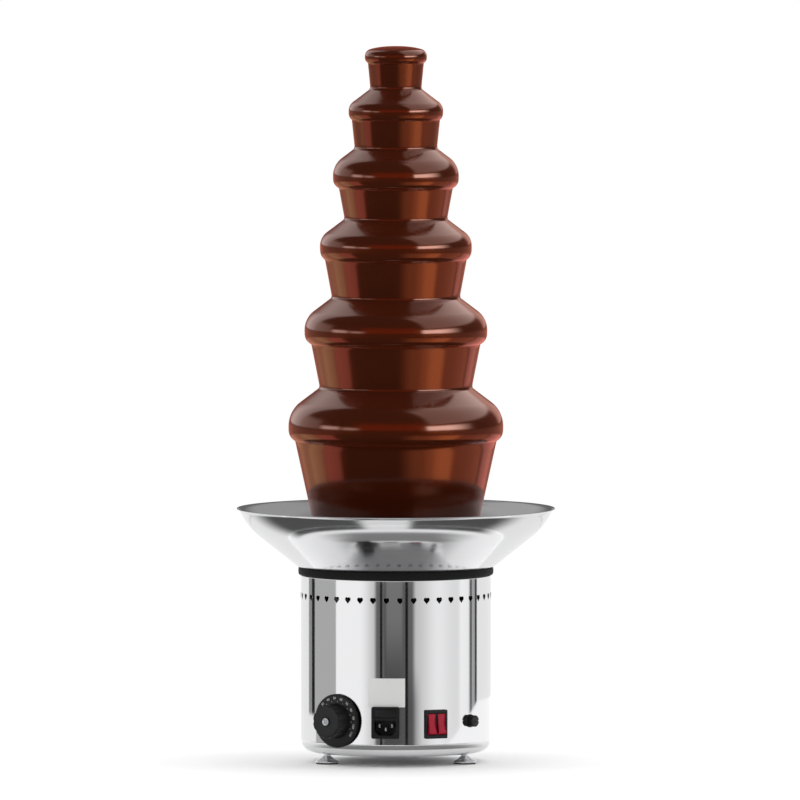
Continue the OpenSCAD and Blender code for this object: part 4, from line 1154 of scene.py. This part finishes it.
# %% [markdown]
# ## Rings of cards
# Each card is a row: left and right end in degrees, low and high end in millimetres, how wide its
# side edges and its end edges fade, and its colour. The pot is a cylinder, so a spot at 30 degrees
# on it shows the card at 60 degrees. The bowl has a ring of its own, because its underside shows a
# dark band that the pot doesn't, and painted shade on the board, which its lower wall shows.

# %% Cards and shades
def grey(value):
    """A neutral colour."""
    return (value, value, value)


FINE, CRISP = (0.5, 0.5), (1, 1)
FULL = (-5, 300)
CARDS = [
    (-200, 200, *FULL, FINE, CRISP, grey(0.93)),
    (-78, 100, *FULL, (2, 30), CRISP, grey(1.05)),
    (60, 84, *FULL, (30, 6), CRISP, grey(0.86)),
    (-132, -124, *FULL, (2, 2), CRISP, grey(0.30)),
    (-124, -116, *FULL, (1, 3), CRISP, grey(0.015)),
    (-116, -78, *FULL, (3, 1), CRISP, grey(0.47)),
    (-34, 40, *FULL, (20, 34), CRISP, grey(0.62)),
    (-25, 22, *FULL, (4, 5), CRISP, grey(0.14)),
    (-14, 10, *FULL, (2, 12), CRISP, grey(0.085)),
    (-12, 8, 120, 300, (4, 4), (90, 1), grey(0.20)),
    (8, 24, -5, 80, (6, 16), (1, 60), grey(0.10)),
    (-19.2, -16.4, *FULL, FINE, CRISP, grey(0.01)),
    (11.4, 14.6, *FULL, FINE, CRISP, grey(0.01)),
    (100.5, 113.4, *FULL, (2, 1), CRISP, grey(0.42)),
    (102.6, 105.6, *FULL, FINE, CRISP, grey(0.08)),
    (112.0, 116.4, *FULL, FINE, CRISP, grey(0.04)),
    (-200, -114, -5, 38, (1, 3), (1, 6), grey(0.95)),
]
UNDER_RIM = [
    (-104, 84, *FULL, (30, 30), CRISP, grey(0.09)),
    (-24, 10, *FULL, (10, 8), CRISP, grey(0.80)),
]
# painted shade on the board: a grey patch under the bowl stands in for the bowl's shadow, and a dark
# ring, paler in front, gives the dark band that the bowl's wall mirrors. Low and high end are distances from
# the axis
BOARD_PAINTED_SHADE = [
    (-62, 66, 122, 236, (60, 70), (6, 40), grey(0.26)),
    (-62, 66, 122, 170, (60, 70), (6, 30), grey(0.28)),
    (-104, 84, 272, 400, (30, 30), (20, 1), grey(0.07)),
    (-24, 10, 262, 400, (10, 8), (20, 1), grey(0.80)),
]
print("cards:", len(CARDS), "under the rim:", len(UNDER_RIM), "shades:", len(BOARD_PAINTED_SHADE))

# %% [markdown]
# ## Glowing sheets
# A card on a clear sheet glows, but can be looked through. Light linking gives each ring to its own
# pieces, so the pot looks through the bowl's ring and the bowl through the pot's. A black backing
# behind both keeps everything farther out from shining through.

# %% Glowing sheets for reflections
def glowing(piece, paint, clear):
    """Give a studio piece painted light of its own, on a black or a clear sheet."""
    material = bpy.data.materials.new(f"{piece.name}_paint")
    material.use_nodes = True
    tree = material.node_tree
    tree.nodes.remove(tree.nodes["Principled BSDF"])
    light = tree.nodes.new("ShaderNodeEmission")
    tree.links.new(paint(tree), light.inputs["Color"])
    shown = light.outputs[0]
    if clear:
        both = tree.nodes.new("ShaderNodeAddShader")
        tree.links.new(shown, both.inputs[0])
        tree.links.new(tree.nodes.new("ShaderNodeBsdfTransparent").outputs[0], both.inputs[1])
        shown = both.outputs[0]
    tree.links.new(shown, tree.nodes["Material Output"].inputs["Surface"])
    piece.data.materials.append(material)


def for_reflections(piece, receivers):
    """Only reflections see this studio piece, and only those pieces get its light."""
    piece.visible_camera = piece.visible_diffuse = piece.visible_shadow = False
    piece.visible_transmission = False
    piece.light_linking.receiver_collection = receivers
    piece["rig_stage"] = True


bowl_only, pot_side, steel_side, wet = (bpy.data.collections.new(name) for name in (
    "bowl_only", "pot_side", "steel_side", "wet_chocolate"))
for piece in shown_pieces():
    if piece.name.startswith("flow_"):
        wet.objects.link(piece)
        continue
    steel_side.objects.link(piece)
    (bowl_only if piece.name == "spun_bowl" else pot_side).objects.link(piece)

# %% [markdown]
# ## Rings round the board
# The cards stand as open rings at the board's edge. On the right a white sweep rises in front of the
# pot's cards, as if the board were bent up there. It gives the slanted pale corner low on the pot.

# %% Paint on the rings
SWEEP_FROM, SWEEP_TO, SWEEP_H = 54.0, 117.0, 54.0


def bearing_on_ring(mirrored_angle):
    """Bearing of the spot on the ring that the pot shows in a mirrored direction."""
    offset = shell_r * MM * math.sin(math.radians(mirrored_angle / 2)) / RING_R
    return mirrored_angle - math.degrees(math.asin(offset))


def bearing_and_height(tree):
    """Bearing in degrees and height in millimetres of a point on a standing card."""
    parts = object_place(tree)[1]
    return bearing(tree, parts), calculate(tree, "MULTIPLY", parts.outputs["Z"], 1 / MM)


def pot_cards(tree):
    """The cards that the pot shows, with the sweep in front of them."""
    across, up = bearing_and_height(tree)
    cards = [(bearing_on_ring(left), bearing_on_ring(right), *rest) for left, right, *rest in CARDS]
    sweep = tree.nodes.new("ShaderNodeMapRange")
    for key, value in {"From Min": bearing_on_ring(SWEEP_FROM), "From Max": bearing_on_ring(SWEEP_TO),
                       "To Min": 0.0, "To Max": SWEEP_H}.items():
        sweep.inputs[key].default_value = value
    tree.links.new(across, sweep.inputs["Value"])
    below = calculate(tree, "LESS_THAN", up, sweep.outputs["Result"])
    return lay(tree, below, paint_panes(tree, across, up, cards, grey(0.93)), grey(1.1))


def bowl_cards(tree):
    """The cards that the bowl shows under its rim."""
    return paint_panes(tree, *bearing_and_height(tree), UNDER_RIM, grey(0.93))


print("the sweep starts at", round(bearing_on_ring(SWEEP_FROM), 1), "degrees on the ring")

# %% Stand the rings
RING_GAP = 0.002     # metres between one ring and the next


def stand_ring(name, radius):
    """An open ring of card, standing on the floor."""
    bpy.ops.mesh.primitive_cylinder_add(vertices=128, radius=radius, depth=RING_H, end_fill_type="NOTHING",
                                        location=(0, 0, RING_H / 2))
    ring = bpy.context.object
    ring.name = name
    bpy.ops.object.transform_apply(location=True)
    return ring


for name, radius, paint, receivers in (("bowl_card_ring", RING_R - RING_GAP, bowl_cards, bowl_only),
                                       ("pot_card_ring", RING_R, pot_cards, pot_side)):
    ring = stand_ring(name, radius)
    glowing(ring, paint, True)
    for_reflections(ring, receivers)
backing = stand_ring("black_backing", RING_R + RING_GAP)
finish("backing_felt", (0.0, 0.0, 0.0), Roughness=1.0, Specular_IOR_Level=0.0)
backing.data.materials.append(FINISHES["backing_felt"])
for_reflections(backing, None)
print("rings stand", RING_H, "m tall")

# %% Paint shade on the board
# the board's colour is white with painted shade laid over it, by bearing and distance from the axis
tree, shader = finish("board_painted_shade_paper", (1.0, 1.0, 1.0), Roughness=0.9, Specular_IOR_Level=0.0)
spot, parts = object_place(tree)
distance = tree.nodes.new("ShaderNodeVectorMath")
distance.operation = "LENGTH"
tree.links.new(spot, distance.inputs[0])
out_mm = calculate(tree, "MULTIPLY", distance.outputs["Value"], 1 / MM)
shaded = paint_panes(tree, bearing(tree, parts), out_mm, BOARD_PAINTED_SHADE, grey(1.0))
tree.links.new(shaded, shader.inputs["Base Color"])
board.data.materials.append(FINISHES["board_painted_shade_paper"])
for_reflections(board, None)
print("board shaded with", len(BOARD_PAINTED_SHADE), "panes")

# %% [markdown]
# ## The world and two reflected rooms
# The world is plain white for every ray. Round the studio stand two large shells that only
# reflections see. The steel has a pale room. The chocolate has a dark one with warm boards below,
# which its curtains mirror about 30 degrees under the horizon, and soft boxes above for its lips
# and shoulders. Panes are given as on the rings, but low and high end are degrees above the horizon.

# %% Panes of the rooms
STEEL_ROOM = [
    (-200, 200, 50, 95, FINE, (40, 1), grey(0.24)),
    (-150, -60, 4, 50, (30, 30), (8, 20), grey(0.42)),
    (60, 150, 4, 50, (30, 30), (8, 20), grey(0.36)),
    (-200, 200, -95, 1.5, FINE, (1, 3), grey(0.95)),
]
WET_ROOM = [
    # warm boards for the curtains
    (-200, -128, -38, -9, (1, 10), (8, 2), (0.65, 0.30, 0.18)),
    (-128, -98, -38, -9, (14, 10), (8, 2), (1.25, 0.66, 0.36)),
    (-98, -72, -38, -9, (10, 8), (8, 2), (1.5, 0.42, 0.32)),
    (14, 44, -38, -9, (24, 4), (8, 2), (1.0, 0.34, 0.16)),
    (44, 76, -38, -9, (26, 16), (8, 2), (2.7, 0.92, 0.38)),
    (76, 122, -38, -9, (12, 6), (8, 2), (0.95, 0.30, 0.17)),
    (126, 200, -38, -9, (8, 1), (8, 2), (1.0, 0.33, 0.27)),
    # the far edge of the floor
    (-200, 200, -9, -0.7, FINE, (2, 1), (0.32, 0.13, 0.09)),
    (-70, 60, -9, -0.7, (30, 30), (2, 1), (0.08, 0.03, 0.02)),
    # above: a dim red glow in the middle, pale walls on both sides
    (-44, 32, 2, 26, (20, 20), (4, 20), (0.7, 0.07, 0.02)),
    (-160, -124, 1, 62, (24, 8), (1, 14), (0.95, 0.82, 0.78)),
    (-126, -92, 1, 24, (8, 12), (1, 12), (0.8, 0.6, 0.55)),
    (146, 170, 1, 50, (10, 10), (1, 14), (0.7, 0.4, 0.33)),
    # soft boxes: over the right shoulder, on the right lip, and two on the left lip
    (38, 166, 23, 78, (10, 14), (6, 14), (1.3, 1.03, 0.95)),
    (34, 76, 1.5, 17, (6, 40), (4, 6), (9.0, 7.0, 6.3)),
    (-88, -64, 1.5, 11, (12, 8), (4, 5), (4.0, 3.1, 2.9)),
    (-60, -42, 1.5, 10, (8, 12), (4, 5), (3.0, 2.1, 1.9)),
]
print("panes:", len(STEEL_ROOM), "pale,", len(WET_ROOM), "warm")

# %% Build the rooms and the world
def room_shell(name, radius, panes, ground, clear, receivers):
    """A far shell painted by bearing and elevation, as seen from the middle of the tower."""
    bpy.ops.mesh.primitive_uv_sphere_add(segments=64, ring_count=32, radius=radius, location=(0, 0, 0.45))
    room = bpy.context.object
    room.name = name

    def paint(tree):
        """Light by the direction from the shell's centre."""
        parts = object_place(tree)[1]
        share = calculate(tree, "DIVIDE", parts.outputs["Z"], radius)
        elevation = calculate(tree, "DEGREES", calculate(tree, "ARCSINE", share))
        return paint_panes(tree, bearing(tree, parts), elevation, panes, ground)

    glowing(room, paint, clear)
    for_reflections(room, receivers)


room_shell("pale_room", 38.0, STEEL_ROOM, grey(0.14), True, steel_side)
room_shell("warm_room", 42.0, WET_ROOM, (0.05, 0.03, 0.025), False, wet)
world = bpy.data.worlds.new("white_studio")
bpy.context.scene.world = world
world.use_nodes = True
background = world.node_tree.nodes["Background"]
background.inputs["Color"].default_value = (1.0, 1.0, 1.0, 1.0)
background.inputs["Strength"].default_value = 1.0
bpy.context.scene.view_settings.view_transform = "Standard"
print("world:", world.name)

# %% [markdown]
# ## Lamps
# Three dim soft boxes give the matt surfaces some shape and the floor its shadow. Reflections don't
# show them, because the painted rooms hold the boxes that polished and wet pieces mirror.

# %% Lamps
def softbox(name, spot, target, width, height, watts):
    """An area lamp that faces a target, in metres."""
    bpy.ops.object.light_add(type="AREA", location=spot)
    lamp = bpy.context.object
    lamp.name = name
    lamp.data.shape = "RECTANGLE"
    lamp.data.size, lamp.data.size_y = width, height
    lamp.data.energy = watts
    lamp.rotation_euler = (Vector(target) - Vector(spot)).to_track_quat("-Z", "Y").to_euler()
    lamp.visible_glossy = False
    print(lamp.name, watts, "W")


softbox("overhead", (0.3, 0.2, 2.2), (0.0, 0.0, 0.4), 1.6, 1.6, 5.0)
softbox("side_left", (-1.6, -0.1, 1.0), (0.0, 0.0, 0.5), 0.5, 1.4, 3.0)
softbox("side_right", (1.6, -0.1, 1.0), (0.0, 0.0, 0.5), 0.5, 1.4, 3.0)
